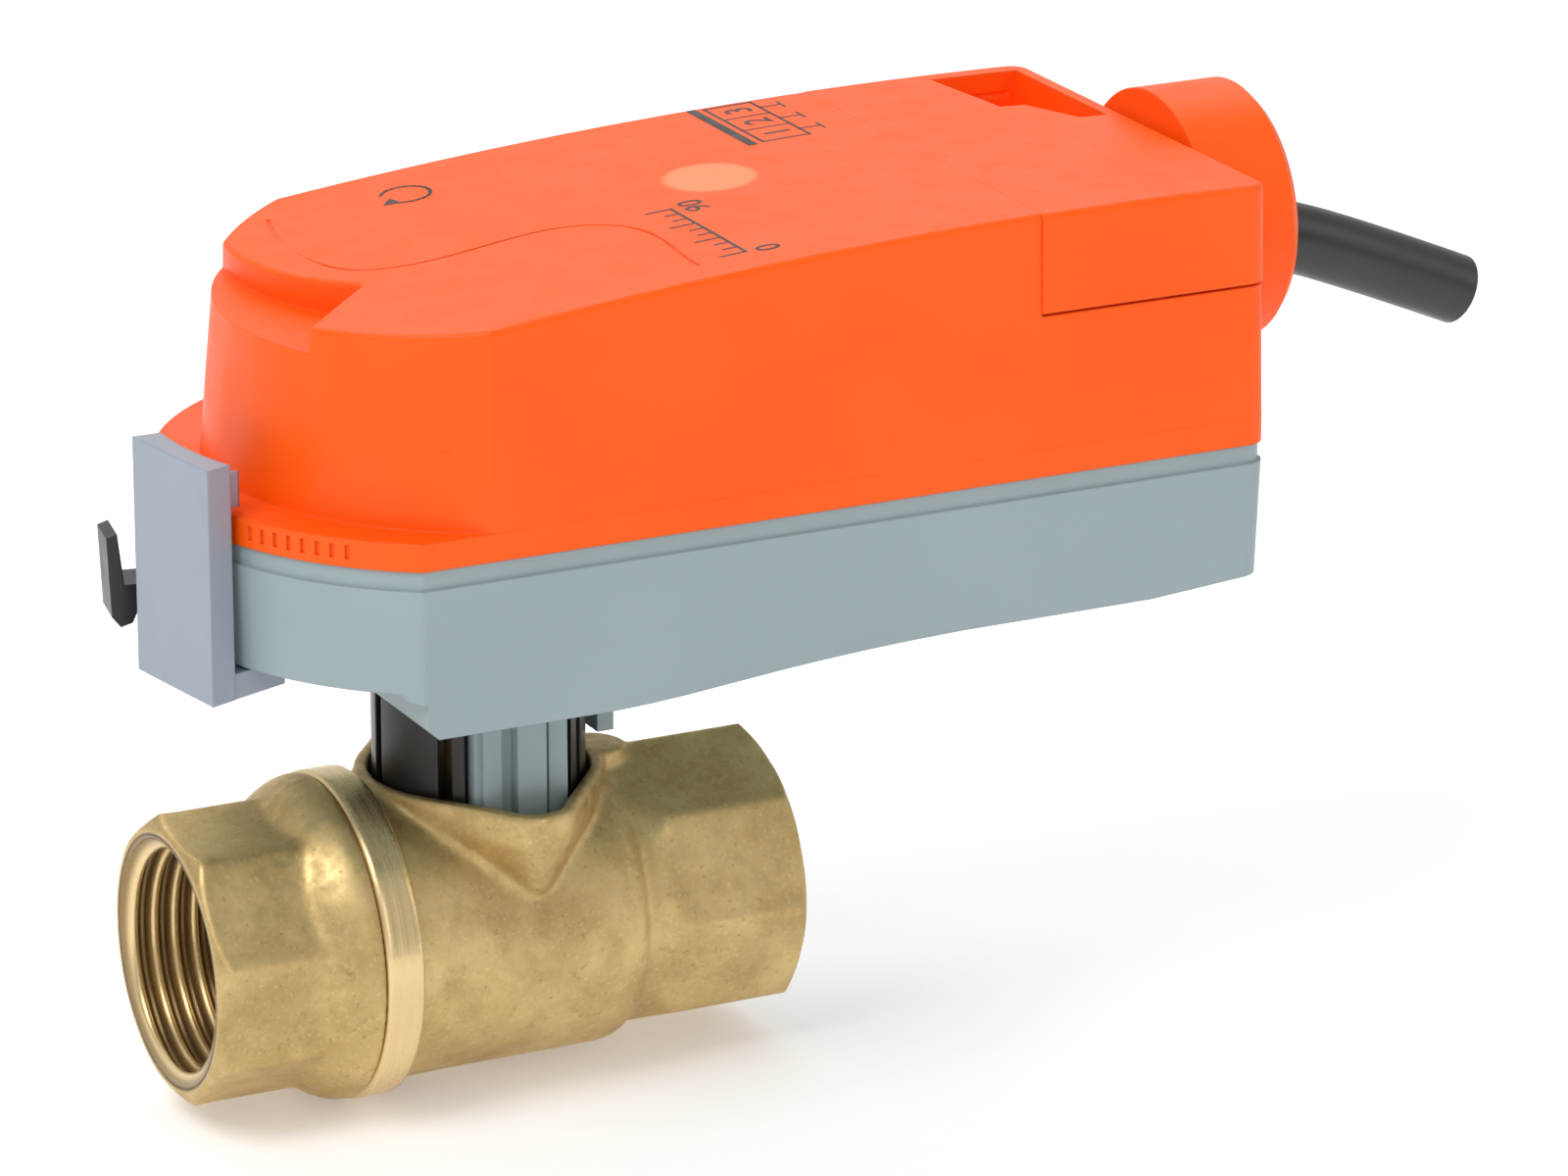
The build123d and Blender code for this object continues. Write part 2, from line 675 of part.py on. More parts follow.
with BuildPart() as terminal_cover:
    add(lid_shell)
    # finger recess at the far corner, with its own floor
    recess_points = [(52.6, 19.9), (53.8, 9.3), (56.0, 9.0), (58.4, 3.4), (61.0, 3.4), (61.0, 19.9)]
    with BuildSketch(level(FINGER_FLOOR_Z - FINGER_FLOOR_THICK)):
        with BuildLine():
            Polyline(*recess_points, close=True)
        make_face()
        offset(amount=1.2, kind=Kind.INTERSECTION)
    extrude(amount=FINGER_FLOOR_THICK + 1.2)
    with BuildSketch(level(FINGER_FLOOR_Z)):
        with BuildLine():
            Polyline(*recess_points, close=True)
        make_face()
    extrude(amount=8, mode=Mode.SUBTRACT)
    with BuildSketch(across(END_X - 5, z=CABLE_Z)):
        Circle(SNOUT_NECK_R + 0.15)
    extrude(amount=8, mode=Mode.SUBTRACT)
save(terminal_cover.part, "terminal_cover")

# ---------------------------------------------------------------- cable snout and cable
BORE_R = CABLE_R + 0.35
FLANGE_X = (57.6, 60.0)
with BuildPart() as cable_snout:
    with BuildSketch(SIDE):
        with BuildLine():
            Polyline(
                (END_X + 0.3, SNOUT_Z),
                (END_X + 0.3, SNOUT_Z + SNOUT_R),
                (SNOUT_END_X - 0.8, SNOUT_Z + SNOUT_R),
                (SNOUT_END_X, SNOUT_Z + SNOUT_R - 0.8),
                (SNOUT_END_X, SNOUT_Z),
                close=True,
            )
        make_face()
    revolve(axis=Axis((STEM_X, 0, SNOUT_Z), (1, 0, 0)))
    # neck through the end wall, with a flange inside it
    with BuildSketch(across(FLANGE_X[0], z=CABLE_Z)):
        Circle(SNOUT_NECK_R)
    extrude(amount=END_X + 0.5 - FLANGE_X[0])
    with BuildSketch(across(FLANGE_X[0], z=CABLE_Z)):
        Circle(SNOUT_FLANGE_R)
    extrude(amount=FLANGE_X[1] - FLANGE_X[0])
    # hollow snout and flared bore, so that the cable may bend
    with BuildSketch(across(SNOUT_END_X + 0.1, z=SNOUT_Z)):
        Circle(SNOUT_R - 1.9)
    extrude(amount=-5.5, taper=3, mode=Mode.SUBTRACT)
    with BuildSketch(across(57.0, z=CABLE_Z)):
        Circle(BORE_R)
    extrude(amount=20, mode=Mode.SUBTRACT)
save(cable_snout.part, "cable_snout")

# from the clamp, straight through the snout, then down to the cut end
CABLE_ROUTE = [(CLAMP_X, CABLE_Z), (66.0, CABLE_Z), (75.4, 49.5), (84.8, 45.9), (94.2, 41.8)]


def bend_radii(points):
    """As large as the runs allow: 0.45 of the shorter run over the tangent of half the turn."""
    radii = []
    for before, here, after in zip(points, points[1:], points[2:]):
        run_in = Vector(*here) - Vector(*before)
        run_out = Vector(*after) - Vector(*here)
        turn = math.radians(run_in.get_angle(run_out))
        radii.append(0.45 * min(run_in.length, run_out.length) / math.tan(turn / 2))
    return radii


route = [(STEM_X + x, 0.0, z) for x, z in CABLE_ROUTE]
cable_radii = bend_radii(route)
print("cable bend radii", [round(radius, 1) for radius in cable_radii])
with BuildPart() as cable:
    with BuildLine() as cable_line:
        FilletPolyline(*route, radius=cable_radii)
    with BuildSketch(across(CABLE_ROUTE[0][0], z=CABLE_ROUTE[0][1])):
        Circle(CABLE_R)
    sweep(path=cable_line.wires()[0])
cable_length = cable_line.wires()[0].length
print("cable length", round(cable_length, 2))
print("cable volume", round(cable.part.volume), "expected", round(math.pi * CABLE_R**2 * cable_length))
save(cable.part, "cable")

BLOCK_X = (44.6, 51.4)
CORE_PITCH = 5.0
CORE_DROP = 2.6
with BuildPart() as cable_cores:
    for lane in (-1, 0, 1):
        start = (STEM_X + CABLE_ROUTE[0][0] - 0.02, lane * 1.5, CABLE_Z)
        finish = (STEM_X + BLOCK_X[1] + 0.05, lane * CORE_PITCH, CABLE_Z - CORE_DROP)
        with BuildLine() as core_line:
            Spline(start, finish, tangents=((-1, 0, 0), (-1, 0, 0)))
        with BuildSketch(Plane(origin=start, x_dir=(0, 1, 0), z_dir=(-1, 0, 0))):
            Circle(0.6)
        sweep(path=core_line.wires()[0])
save(cable_cores.part, "cable_cores")

CLAMP_TOP_Z = CABLE_Z + 4.4
with BuildPart() as strain_relief:
    with BuildSketch(across(56.1, z=(BOARD_Z[1] + CLAMP_TOP_Z) / 2)):
        Rectangle(11.0, CLAMP_TOP_Z - BOARD_Z[1])
    extrude(amount=1.2)
    with BuildSketch(across(56.0, z=CABLE_Z)):
        Circle(CABLE_R + 0.02)
    extrude(amount=2.0, mode=Mode.SUBTRACT)
save(strain_relief.part, "strain_relief")

# ---------------------------------------------------------------- board, terminals and motor
with BuildPart() as circuit_board:
    with BuildSketch(level(BOARD_Z[0], x=33.5)):
        Rectangle(48, 35)
        for x, y in SCREW_SPOTS[2:]:
            with Locations((x - 33.5, y)):
                Circle(3.3, mode=Mode.SUBTRACT)
    extrude(amount=BOARD_Z[1] - BOARD_Z[0])
save(circuit_board.part, "circuit_board")

# two capacitors, a relay-sized driver, a controller chip and small chips on the board
with BuildPart() as board_parts:
    for x, y, radius, height in ((17, 10, 3.1, 9.5), (24.5, 11, 2.5, 8.0)):
        with BuildSketch(level(BOARD_Z[1] + 0.02, x, y)):
            Circle(radius)
        extrude(amount=height)
    for x, y, wide, deep, height in (
        (19, -6, 11, 9, 1.6),
        (31, -8, 6, 8, 2.4),
        (33, 6, 5, 4, 1.4),
        (26, 2, 3, 2, 0.9),
        (12.6, 2, 2, 3, 0.9),
        (36, -1, 2, 1.4, 0.8),
    ):
        with BuildSketch(level(BOARD_Z[1] + 0.02, x, y)):
            Rectangle(wide, deep)
        extrude(amount=height)
save(board_parts.part, "board_parts")

BLOCK_TOP_Z = 52.6
with BuildPart() as terminal_block:
    with BuildSketch(level(BOARD_Z[1] + 0.02, x=sum(BLOCK_X) / 2)):
        Rectangle(BLOCK_X[1] - BLOCK_X[0], 3 * CORE_PITCH + 1.6)
    extrude(amount=BLOCK_TOP_Z - BOARD_Z[1])
    for lane in (-1, 0, 1):
        with BuildSketch(across(BLOCK_X[1] + 0.1, y=lane * CORE_PITCH, z=CABLE_Z - CORE_DROP)):
            Rectangle(3.2, 2.6)
        extrude(amount=-2.4, mode=Mode.SUBTRACT)
        with BuildSketch(level(BLOCK_TOP_Z + 0.1, x=sum(BLOCK_X) / 2, y=lane * CORE_PITCH)):
            Circle(1.7)
        extrude(amount=-3.0, mode=Mode.SUBTRACT)
save(terminal_block.part, "terminal_block")

with BuildPart() as terminal_screws:
    for lane in (-1, 0, 1):
        with BuildSketch(level(BLOCK_TOP_Z - 2.8, x=sum(BLOCK_X) / 2, y=lane * CORE_PITCH)):
            Circle(1.55)
        extrude(amount=1.7)
        with BuildSketch(level(BLOCK_TOP_Z - 1.0, x=sum(BLOCK_X) / 2, y=lane * CORE_PITCH)):
            Rectangle(4.0, 0.5)
        extrude(amount=-0.7, mode=Mode.SUBTRACT)
save(terminal_screws.part, "terminal_screws")

with BuildPart() as motor:
    with BuildSketch(level(MOTOR_Z[0], *MOTOR)):
        Circle(MOTOR_R)
    extrude(amount=MOTOR_Z[1] - MOTOR_Z[0] - 0.6)
    fillet(motor.edges().filter_by(GeomType.CIRCLE), 0.6)
    with BuildSketch(level(MOTOR_Z[1] - 1.0, *MOTOR)):
        Circle(2.6)
    extrude(amount=1.0)
    with BuildSketch(level(MOTOR_Z[1] - 5.0, *MOTOR)):
        Circle(AXLE_R + AXLE_FIT)
    extrude(amount=6.0, mode=Mode.SUBTRACT)
save(motor.part, "motor")


# ---------------------------------------------------------------- gear train
def gear_plan(teeth, module, phase, hole_r=0.0):
    """A spur gear's outline with straight-sided teeth, slim enough to run with backlash."""
    pitch_r = teeth * module / 2
    tip_r = pitch_r + 0.85 * module
    root_r = pitch_r - 1.1 * module
    half = 0.25 * math.pi * module - MESH_BACKLASH
    corners = []
    for tooth in range(teeth):
        middle = math.radians(phase) + 2 * math.pi * tooth / teeth
        for radius, reach in (
            (root_r, -half - 0.34 * module),
            (tip_r, -half + 0.32 * module),
            (tip_r, half - 0.32 * module),
            (root_r, half + 0.34 * module),
        ):
            angle = middle + reach / pitch_r
            corners.append((radius * math.cos(angle), radius * math.sin(angle)))
    with BuildSketch(mode=Mode.PRIVATE) as plan:
        with BuildLine():
            Polyline(*corners, close=True)
        make_face()
        if hole_r:
            Circle(hole_r, mode=Mode.SUBTRACT)
    return plan.sketch


HUB_R = 3.95
with BuildPart() as output_gear:
    with BuildSketch(level(OUT_Z[0])):
        add(gear_plan(OUT_TEETH, OUT_MODULE, 0.0, HUB_R + 0.02))
    extrude(amount=OUT_Z[1] - OUT_Z[0])
    with BuildSketch(level(OUT_Z[1])):
        Circle(14.6)
        Circle(6.4, mode=Mode.SUBTRACT)
    extrude(amount=-1.1, mode=Mode.SUBTRACT)
save(output_gear.part, "output_gear")

COUPLING_R = 5.4
with BuildPart() as drive_coupling:
    with BuildSketch(level(19.6)):
        Circle(COUPLING_R)
    extrude(amount=OUT_Z[0] - 0.1 - 19.6)
    with BuildSketch(level(OUT_Z[0] - 0.1)):
        Circle(HUB_R)
    extrude(amount=4.2)
    with BuildSketch(level(OUT_Z[0] + 4.0)):
        Circle(2.0)
    extrude(amount=PLATE_Z[1] - OUT_Z[0] - 4.0)
    with BuildSketch(level(19.0)):
        Circle(STEM_R + 0.05)
        Rectangle(STEM_FLATS + 0.1, 2 * STEM_R + 1, mode=Mode.INTERSECT)
    extrude(amount=STEM_TOP_Z + 0.2 - 19.0, mode=Mode.SUBTRACT)
save(drive_coupling.part, "drive_coupling")

with BuildPart() as output_bush:
    with BuildSketch(level(SKIRT_Z + 0.2)):
        Circle(6.45)
        Circle(COUPLING_R + 0.06, mode=Mode.SUBTRACT)
    extrude(amount=TRAY_FLOOR_Z + 2.65 - SKIRT_Z - 0.2)
    with BuildSketch(level(TRAY_FLOOR_Z + 2.05)):
        Circle(8.0)
        Circle(COUPLING_R + 0.06, mode=Mode.SUBTRACT)
    extrude(amount=0.6)
save(output_bush.part, "output_bush")

with BuildPart() as second_gear:
    with BuildSketch(level(OUT_Z[0], *AXLE2)):
        add(gear_plan(PINION_TEETH, OUT_MODULE, 195.0, AXLE_R + AXLE_FIT))
    extrude(amount=WHEEL2_Z[0] - OUT_Z[0])
    with BuildSketch(level(WHEEL2_Z[0], *AXLE2)):
        add(gear_plan(WHEEL2_TEETH, WHEEL2_MODULE, math.degrees(TURN1), AXLE_R + AXLE_FIT))
    extrude(amount=WHEEL2_Z[1] - WHEEL2_Z[0])
save(second_gear.part, "second_gear")

with BuildPart() as first_gear:
    with BuildSketch(level(WHEEL2_Z[0] - 0.3, *AXLE1)):
        add(gear_plan(PINION_TEETH, WHEEL2_MODULE, math.degrees(TURN1) + 195.0, AXLE_R + AXLE_FIT))
    extrude(amount=WHEEL1_Z[0] - WHEEL2_Z[0] + 0.3)
    with BuildSketch(level(WHEEL1_Z[0], *AXLE1)):
        add(gear_plan(WHEEL1_TEETH, WHEEL1_MODULE, math.degrees(TURN0), AXLE_R + AXLE_FIT))
    extrude(amount=WHEEL1_Z[1] - WHEEL1_Z[0])
save(first_gear.part, "first_gear")

with BuildPart() as motor_pinion:
    with BuildSketch(level(WHEEL1_Z[0] - 0.3, *MOTOR)):
        add(gear_plan(PINION_TEETH, WHEEL1_MODULE, math.degrees(TURN0) + 195.0))
    extrude(amount=WHEEL1_Z[1] - WHEEL1_Z[0] + 0.5)
    with BuildSketch(level(MOTOR_Z[1] - 4.6, *MOTOR)):
        Circle(AXLE_R)
    extrude(amount=WHEEL1_Z[0] - MOTOR_Z[1] + 4.6)
save(motor_pinion.part, "motor_pinion")

with BuildPart() as axle_pins:
    for spot in (AXLE2, AXLE1):
        with BuildSketch(level(TRAY_FLOOR_Z + 0.1, *spot)):
            Circle(AXLE_R - 0.02)
        extrude(amount=PLATE_Z[1] - TRAY_FLOOR_Z - 0.1)
save(axle_pins.part, "axle_pins")

with BuildPart() as gear_plate:
    with BuildSketch(level(PLATE_Z[0])):
        add(shell_outline(NOSE_LOW_X + 2.8, 2.8))
        with Locations((12.5, 0)):
            Rectangle(58, 60, mode=Mode.INTERSECT)
        for x, y in SCREW_SPOTS[:2]:
            with Locations((x, y)):
                Circle(3.3, mode=Mode.SUBTRACT)
        with Locations(AXLE2, AXLE1):
            Circle(AXLE_R, mode=Mode.SUBTRACT)
        Circle(2.06, mode=Mode.SUBTRACT)
        with Locations(*PLATE_PILLARS):
            Circle(1.0, mode=Mode.SUBTRACT)
        with Locations((7, 12), (7, -12)):
            SlotOverall(12, 5, mode=Mode.SUBTRACT)
    extrude(amount=PLATE_Z[1] - PLATE_Z[0])
save(gear_plate.part, "gear_plate")

with BuildPart() as plate_screws:
    for spot in PLATE_PILLARS:
        with BuildSketch(level(PLATE_Z[0] - 6.0, *spot)):
            Circle(0.7)
        extrude(amount=PLATE_Z[1] - PLATE_Z[0] + 6.0)
        with BuildSketch(level(PLATE_Z[1] + 0.02, *spot)):
            Circle(1.5)
        extrude(amount=0.5)
save(plate_screws.part, "plate_screws")

with BuildPart() as housing_screws:
    for x, y in SCREW_SPOTS:
        with BuildSketch(level(SCREW_SEAT_Z - 1.9, x, y)):
            Circle(SCREW_HEAD_R)
        extrude(amount=1.85)
        with BuildSketch(level(SCREW_SEAT_Z - 0.1, x, y)):
            Circle(SCREW_R)
        extrude(amount=17.0)
        with BuildSketch(level(SCREW_SEAT_Z - 2.0, x, y)):
            Rectangle(3.2, 0.7)
            Rectangle(0.7, 3.2)
        extrude(amount=1.2, mode=Mode.SUBTRACT)
save(housing_screws.part, "housing_screws")


# ---------------------------------------------------------------- neck and nose fittings
with BuildPart() as lock_ring:
    with BuildSketch(level(11.0)):
        add(rhombus(8.95, 2.05))
        add(rhombus(7.3, 0.4), mode=Mode.SUBTRACT)
        for side in (-1, 1):
            with Locations((-0.2, side * 11.0)):
                Rectangle(9.4, 7.4, mode=Mode.SUBTRACT)
        for angle in (2, 48, 132, 178, 228, 312):
            turn = math.radians(angle)
            with Locations(Location((8.0 * math.cos(turn), 8.0 * math.sin(turn), 0), (0, 0, angle))):
                Rectangle(4.0, 1.3, mode=Mode.SUBTRACT)
    extrude(amount=SKIRT_Z - 0.05 - 11.0)
    # the slabs hang from one ring under the base
    with BuildSketch(level(SKIRT_Z - 0.05)):
        Circle(9.2)
        Circle(7.0, mode=Mode.SUBTRACT)
        for side in (-1, 1):
            with Locations((-0.2, side * 11.0)):
                Rectangle(9.4, 7.4, mode=Mode.SUBTRACT)
    extrude(amount=-1.6)
save(lock_ring.part, "lock_ring")


def arc_band(inner_r, outer_r, first_angle, last_angle):
    """A flat ring sector about the stem."""
    first, last = math.radians(first_angle), math.radians(last_angle)
    middle = (first + last) / 2
    with BuildSketch(mode=Mode.PRIVATE) as band:
        with BuildLine():
            for radius in (inner_r, outer_r):
                ThreePointArc(*((radius * math.cos(a), radius * math.sin(a)) for a in (first, middle, last)))
            for angle in (first, last):
                Line(
                    (inner_r * math.cos(angle), inner_r * math.sin(angle)),
                    (outer_r * math.cos(angle), outer_r * math.sin(angle)),
                )
        make_face()
    return band.sketch


CLIP_MIDDLE = 189.2
CLIP_FLAT = 29.2
with BuildPart() as flow_limit_clip:
    # curved band with a flat outer face, held off the housing's nose
    with BuildSketch(level(CLIP_Z[0])):
        add(arc_band(CLIP_R[0], CLIP_R[1] + 0.6, *CLIP_ANGLES))
        with Locations(Location((0, 0, 0), (0, 0, CLIP_MIDDLE))):
            with Locations((CLIP_FLAT / 2, 0)):
                Rectangle(CLIP_FLAT, 40, mode=Mode.INTERSECT)
    extrude(amount=CLIP_Z[1] - CLIP_Z[0])
    # foot under the nose
    with BuildSketch(level(CLIP_Z[0])):
        add(arc_band(21.8, CLIP_R[1] - 0.9, CLIP_ANGLES[0] + 1.0, CLIP_ANGLES[1] - 0.2))
    extrude(amount=NOSE_FLOOR_Z - 0.35 - CLIP_Z[0])
    # lip over the flange, with two finger scallops
    with BuildSketch(level(FLANGE_Z + 0.35)):
        add(arc_band(24.9, CLIP_R[1] - 0.9, CLIP_ANGLES[0] + 1.0, CLIP_ANGLES[1] - 3.0))
    extrude(amount=3.0)
    for angle in (182.6, 192.6):
        turn = math.radians(angle)
        with BuildSketch(level(CLIP_Z[1] + 0.1, 23.6 * math.cos(turn), 23.6 * math.sin(turn))):
            Circle(2.6)
        extrude(amount=-6, mode=Mode.SUBTRACT)
save(flow_limit_clip.part, "flow_limit_clip")

LEVER_R = (29.9, 31.3)
LEVER_ARM_Z = (30.1, 31.9)
lever_turn = math.radians(LEVER_ANGLE)
lever_side = Plane(
    origin=(STEM_X, 0, 0),
    x_dir=(math.cos(lever_turn), math.sin(lever_turn), 0),
    z_dir=(math.sin(lever_turn), -math.cos(lever_turn), 0),
)
with BuildPart() as release_lever:
    with BuildSketch(lever_side):
        with BuildLine():
            Polyline(
                (21.4, LEVER_ARM_Z[0]),
                (28.6, LEVER_ARM_Z[0]),
                (29.3, 28.6),
                (30.3, 28.3),
                (31.0, 29.2),
                (LEVER_R[1], 36.0),
                (LEVER_R[1] - 0.9, 36.3),
                (LEVER_R[0], LEVER_ARM_Z[1]),
                (21.4, LEVER_ARM_Z[1]),
                close=True,
            )
        make_face()
    extrude(amount=2.0, both=True)
    # stop block inside the window
    with BuildSketch(level(LEVER_ARM_Z[0]).rotated((0, 0, LEVER_ANGLE))):
        with Locations((22.0, 0)):
            Rectangle(1.4, 6.0)
    extrude(amount=LEVER_ARM_Z[1] - LEVER_ARM_Z[0])
save(release_lever.part, "release_lever")
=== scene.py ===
"""Looks for the zone valve: materials, forged brass, the cable and the print, around the CAD frame.

Metres, in the CAD's own frame: the origin is the inlet mouth, +X along the pipe, +Z up the stem.
mm() turns millimetres into metres, and stem() a place measured from the stem axis into this frame.
"""

import json
import math

import bpy
import numpy as np
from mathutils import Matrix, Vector
from mathutils.bvhtree import BVHTree


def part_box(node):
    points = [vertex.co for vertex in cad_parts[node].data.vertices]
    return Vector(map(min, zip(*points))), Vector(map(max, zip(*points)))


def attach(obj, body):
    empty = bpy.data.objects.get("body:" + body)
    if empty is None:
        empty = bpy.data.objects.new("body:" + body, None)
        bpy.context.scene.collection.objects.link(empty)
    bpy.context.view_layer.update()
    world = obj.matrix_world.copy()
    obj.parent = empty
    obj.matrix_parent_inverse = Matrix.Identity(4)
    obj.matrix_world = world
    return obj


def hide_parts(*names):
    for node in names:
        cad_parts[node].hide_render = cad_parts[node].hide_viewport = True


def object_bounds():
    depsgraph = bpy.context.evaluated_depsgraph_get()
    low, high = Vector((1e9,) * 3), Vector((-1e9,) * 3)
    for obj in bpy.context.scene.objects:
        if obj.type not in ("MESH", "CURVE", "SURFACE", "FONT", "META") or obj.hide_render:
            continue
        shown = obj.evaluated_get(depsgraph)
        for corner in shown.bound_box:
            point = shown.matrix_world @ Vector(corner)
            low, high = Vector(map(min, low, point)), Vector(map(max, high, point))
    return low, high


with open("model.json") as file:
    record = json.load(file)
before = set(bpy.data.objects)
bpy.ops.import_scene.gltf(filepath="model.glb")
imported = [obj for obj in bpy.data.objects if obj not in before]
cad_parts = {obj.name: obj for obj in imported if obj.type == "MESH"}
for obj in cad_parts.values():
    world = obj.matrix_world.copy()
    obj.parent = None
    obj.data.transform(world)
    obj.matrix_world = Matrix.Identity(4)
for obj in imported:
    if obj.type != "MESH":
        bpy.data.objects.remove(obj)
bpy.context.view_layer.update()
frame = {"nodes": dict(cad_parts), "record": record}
nodes = frame["nodes"]

ball_low, ball_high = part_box("ball")
STEM_X = (ball_low.x + ball_high.x) / 2
BODY_HOUSING = "housing"


def mm(value):
    return value / 1000.0


def stem(x, y, z):
    """A point given in millimetres, x and y from the stem axis and z from the pipe axis."""
    return Vector((STEM_X + mm(x), mm(y), mm(z)))


# the bright turned ring of the valve body: its middle along the pipe, measured from the stem axis
RING_MIDDLE = mm(-12.8)

# ---------------------------------------------------------------- camera, floor and light
CAMERA_AZIMUTH = math.radians(-26.449)
CAMERA_RISE = math.radians(18.676)
CAMERA_DISTANCE = 0.64824
CAMERA_LENS_MM = 175.69
CAMERA_TARGET = stem(28.504, 0, 24.025)


def toward(azimuth, rise):
    """The unit vector from the object to an eye at that azimuth and rise."""
    return Vector(
        (
            math.sin(azimuth) * math.cos(rise),
            -math.cos(azimuth) * math.cos(rise),
            math.sin(rise),
        )
    )


def make_camera():
    data = bpy.data.cameras.new("camera")
    data.sensor_width = 36.0
    data.lens = CAMERA_LENS_MM
    data.clip_start = 0.01
    data.clip_end = 20.0
    camera = bpy.data.objects.new("camera", data)
    back = toward(CAMERA_AZIMUTH, CAMERA_RISE)
    camera.location = CAMERA_TARGET + back * CAMERA_DISTANCE
    camera.rotation_mode = "QUATERNION"
    camera.rotation_quaternion = (-back).to_track_quat("-Z", "Y")
    bpy.context.scene.collection.objects.link(camera)
    bpy.context.scene.camera = camera


def area_light(name, azimuth, rise, distance, size, power, colour=(1, 1, 1)):
    data = bpy.data.lights.new(name, "AREA")
    data.shape = "RECTANGLE"
    data.size, data.size_y = size
    data.energy = power
    data.color = colour
    light = bpy.data.objects.new(name, data)
    back = toward(math.radians(azimuth), math.radians(rise))
    light.location = CAMERA_TARGET + back * distance
    light.rotation_mode = "QUATERNION"
    light.rotation_quaternion = (-back).to_track_quat("-Z", "Y")
    bpy.context.scene.collection.objects.link(light)


def make_world():
    world = bpy.data.worlds.new("studio")
    world.use_nodes = True
    background = world.node_tree.nodes["Background"]
    background.inputs["Color"].default_value = (1.0, 1.0, 1.0, 1.0)
    background.inputs["Strength"].default_value = 0.48
    bpy.context.scene.world = world
    bpy.context.scene.view_settings.view_transform = "Standard"


def make_floor():
    """A wide pale floor that curls up far behind the object."""
    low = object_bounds()[0]
    half, back_y, rise, radius = 3.0, 2.2, 2.5, 0.8
    outline = [(-half, 0.0), (back_y - radius, 0.0)]
    for step in range(1, 13):
        turn = math.radians(90 * step / 12)
        outline.append((back_y - radius + radius * math.sin(turn), radius * (1 - math.cos(turn))))
    outline.append((back_y, rise))
    mesh = bpy.data.meshes.new("floor")
    points = [(side * half, y, low.z - mm(0.05) + z) for y, z in outline for side in (-1, 1)]
    faces = [(2 * i, 2 * i + 1, 2 * i + 3, 2 * i + 2) for i in range(len(outline) - 1)]
    mesh.from_pydata(points, [], faces)
    mesh.shade_smooth()
    floor = bpy.data.objects.new("floor", mesh)
    bpy.context.scene.collection.objects.link(floor)
    material = bpy.data.materials.new("floor_paper")
    material.use_nodes = True
    shader = material.node_tree.nodes["Principled BSDF"]
    shader.inputs["Base Color"].default_value = (0.93, 0.93, 0.93, 1)
    shader.inputs["Roughness"].default_value = 0.9
    shader.inputs["Emission Color"].default_value = (1, 1, 1, 1)
    shader.inputs["Emission Strength"].default_value = 0.22
    mesh.materials.append(material)


make_camera()
make_world()
make_floor()
area_light("key", -70, 50, 0.9, (0.45, 0.45), 3.4)
area_light("front", -8, 22, 1.0, (0.5, 0.7), 1.25)
area_light("right", 62, 30, 1.0, (0.4, 0.8), 1.0)
area_light("rim", 165, 55, 1.0, (0.8, 0.5), 3.2)


# ---------------------------------------------------------------- materials
def rgb(red, green, blue):
    """An sRGB colour of 0 to 255 as linear values."""
    linear = []
    for value in (red, green, blue):
        value /= 255.0
        linear.append(value / 12.92 if value <= 0.04045 else ((value + 0.055) / 1.055) ** 2.4)
    return (*linear, 1.0)


class Nodes:
    """A thin helper that adds nodes to one material and links them."""

    def __init__(self, name):
        self.material = bpy.data.materials.new(name)
        self.material.use_nodes = True
        self.tree = self.material.node_tree
        self.shader = self.tree.nodes["Principled BSDF"]
        self.place = self.add("ShaderNodeTexCoord").outputs["Object"]

    def add(self, kind, **inputs):
        node = self.tree.nodes.new(kind)
        for name, value in inputs.items():
            self.feed(node.inputs[name.replace("_", " ")], value)
        return node

    def feed(self, socket, value):
        if isinstance(value, bpy.types.NodeSocket):
            self.tree.links.new(value, socket)
        else:
            socket.default_value = value

    def noise(self, scale, detail=2.0, rough=0.5, where=None):
        node = self.add("ShaderNodeTexNoise", Scale=scale, Detail=detail, Roughness=rough)
        self.feed(node.inputs["Vector"], where or self.place)
        return node.outputs["Fac"]

    def ramp(self, value, low, high, out_low=0.0, out_high=1.0):
        node = self.add("ShaderNodeMapRange")
        node.interpolation_type = "SMOOTHSTEP"
        for index, number in enumerate((value, low, high, out_low, out_high)):
            self.feed(node.inputs[index], number)
        return node.outputs["Result"]

    def math(self, operation, first, second=0.0):
        node = self.add("ShaderNodeMath")
        node.operation = operation
        self.feed(node.inputs[0], first)
        self.feed(node.inputs[1], second)
        return node.outputs[0]

    def mix(self, share, first, second):
        node = self.add("ShaderNodeMix")
        node.data_type = "RGBA"
        self.feed(node.inputs[0], share)
        self.feed(node.inputs[6], first)
        self.feed(node.inputs[7], second)
        return node.outputs[2]

    def bump(self, height, strength, distance, normal=None):
        node = self.add("ShaderNodeBump", Height=height, Strength=strength, Distance=distance)
        if normal is not None:
            self.feed(node.inputs["Normal"], normal)
        return node.outputs["Normal"]

    def edge(self, radius, samples=4):
        """The rounded normal, and how sharply the surface turns: 0 on flats, 1 on an edge."""
        bevel = self.add("ShaderNodeBevel", Radius=radius)
        bevel.samples = samples
        geometry = self.add("ShaderNodeNewGeometry")
        dot = self.add("ShaderNodeVectorMath")
        dot.operation = "DOT_PRODUCT"
        self.feed(dot.inputs[0], bevel.outputs["Normal"])
        self.feed(dot.inputs[1], geometry.outputs["Normal"])
        turn = self.ramp(dot.outputs["Value"], 0.995, 0.86)
        return bevel.outputs["Normal"], turn

    def finish(self, **sockets):
        for name, value in sockets.items():
            self.feed(self.shader.inputs[name.replace("_", " ")], value)
        return self.material


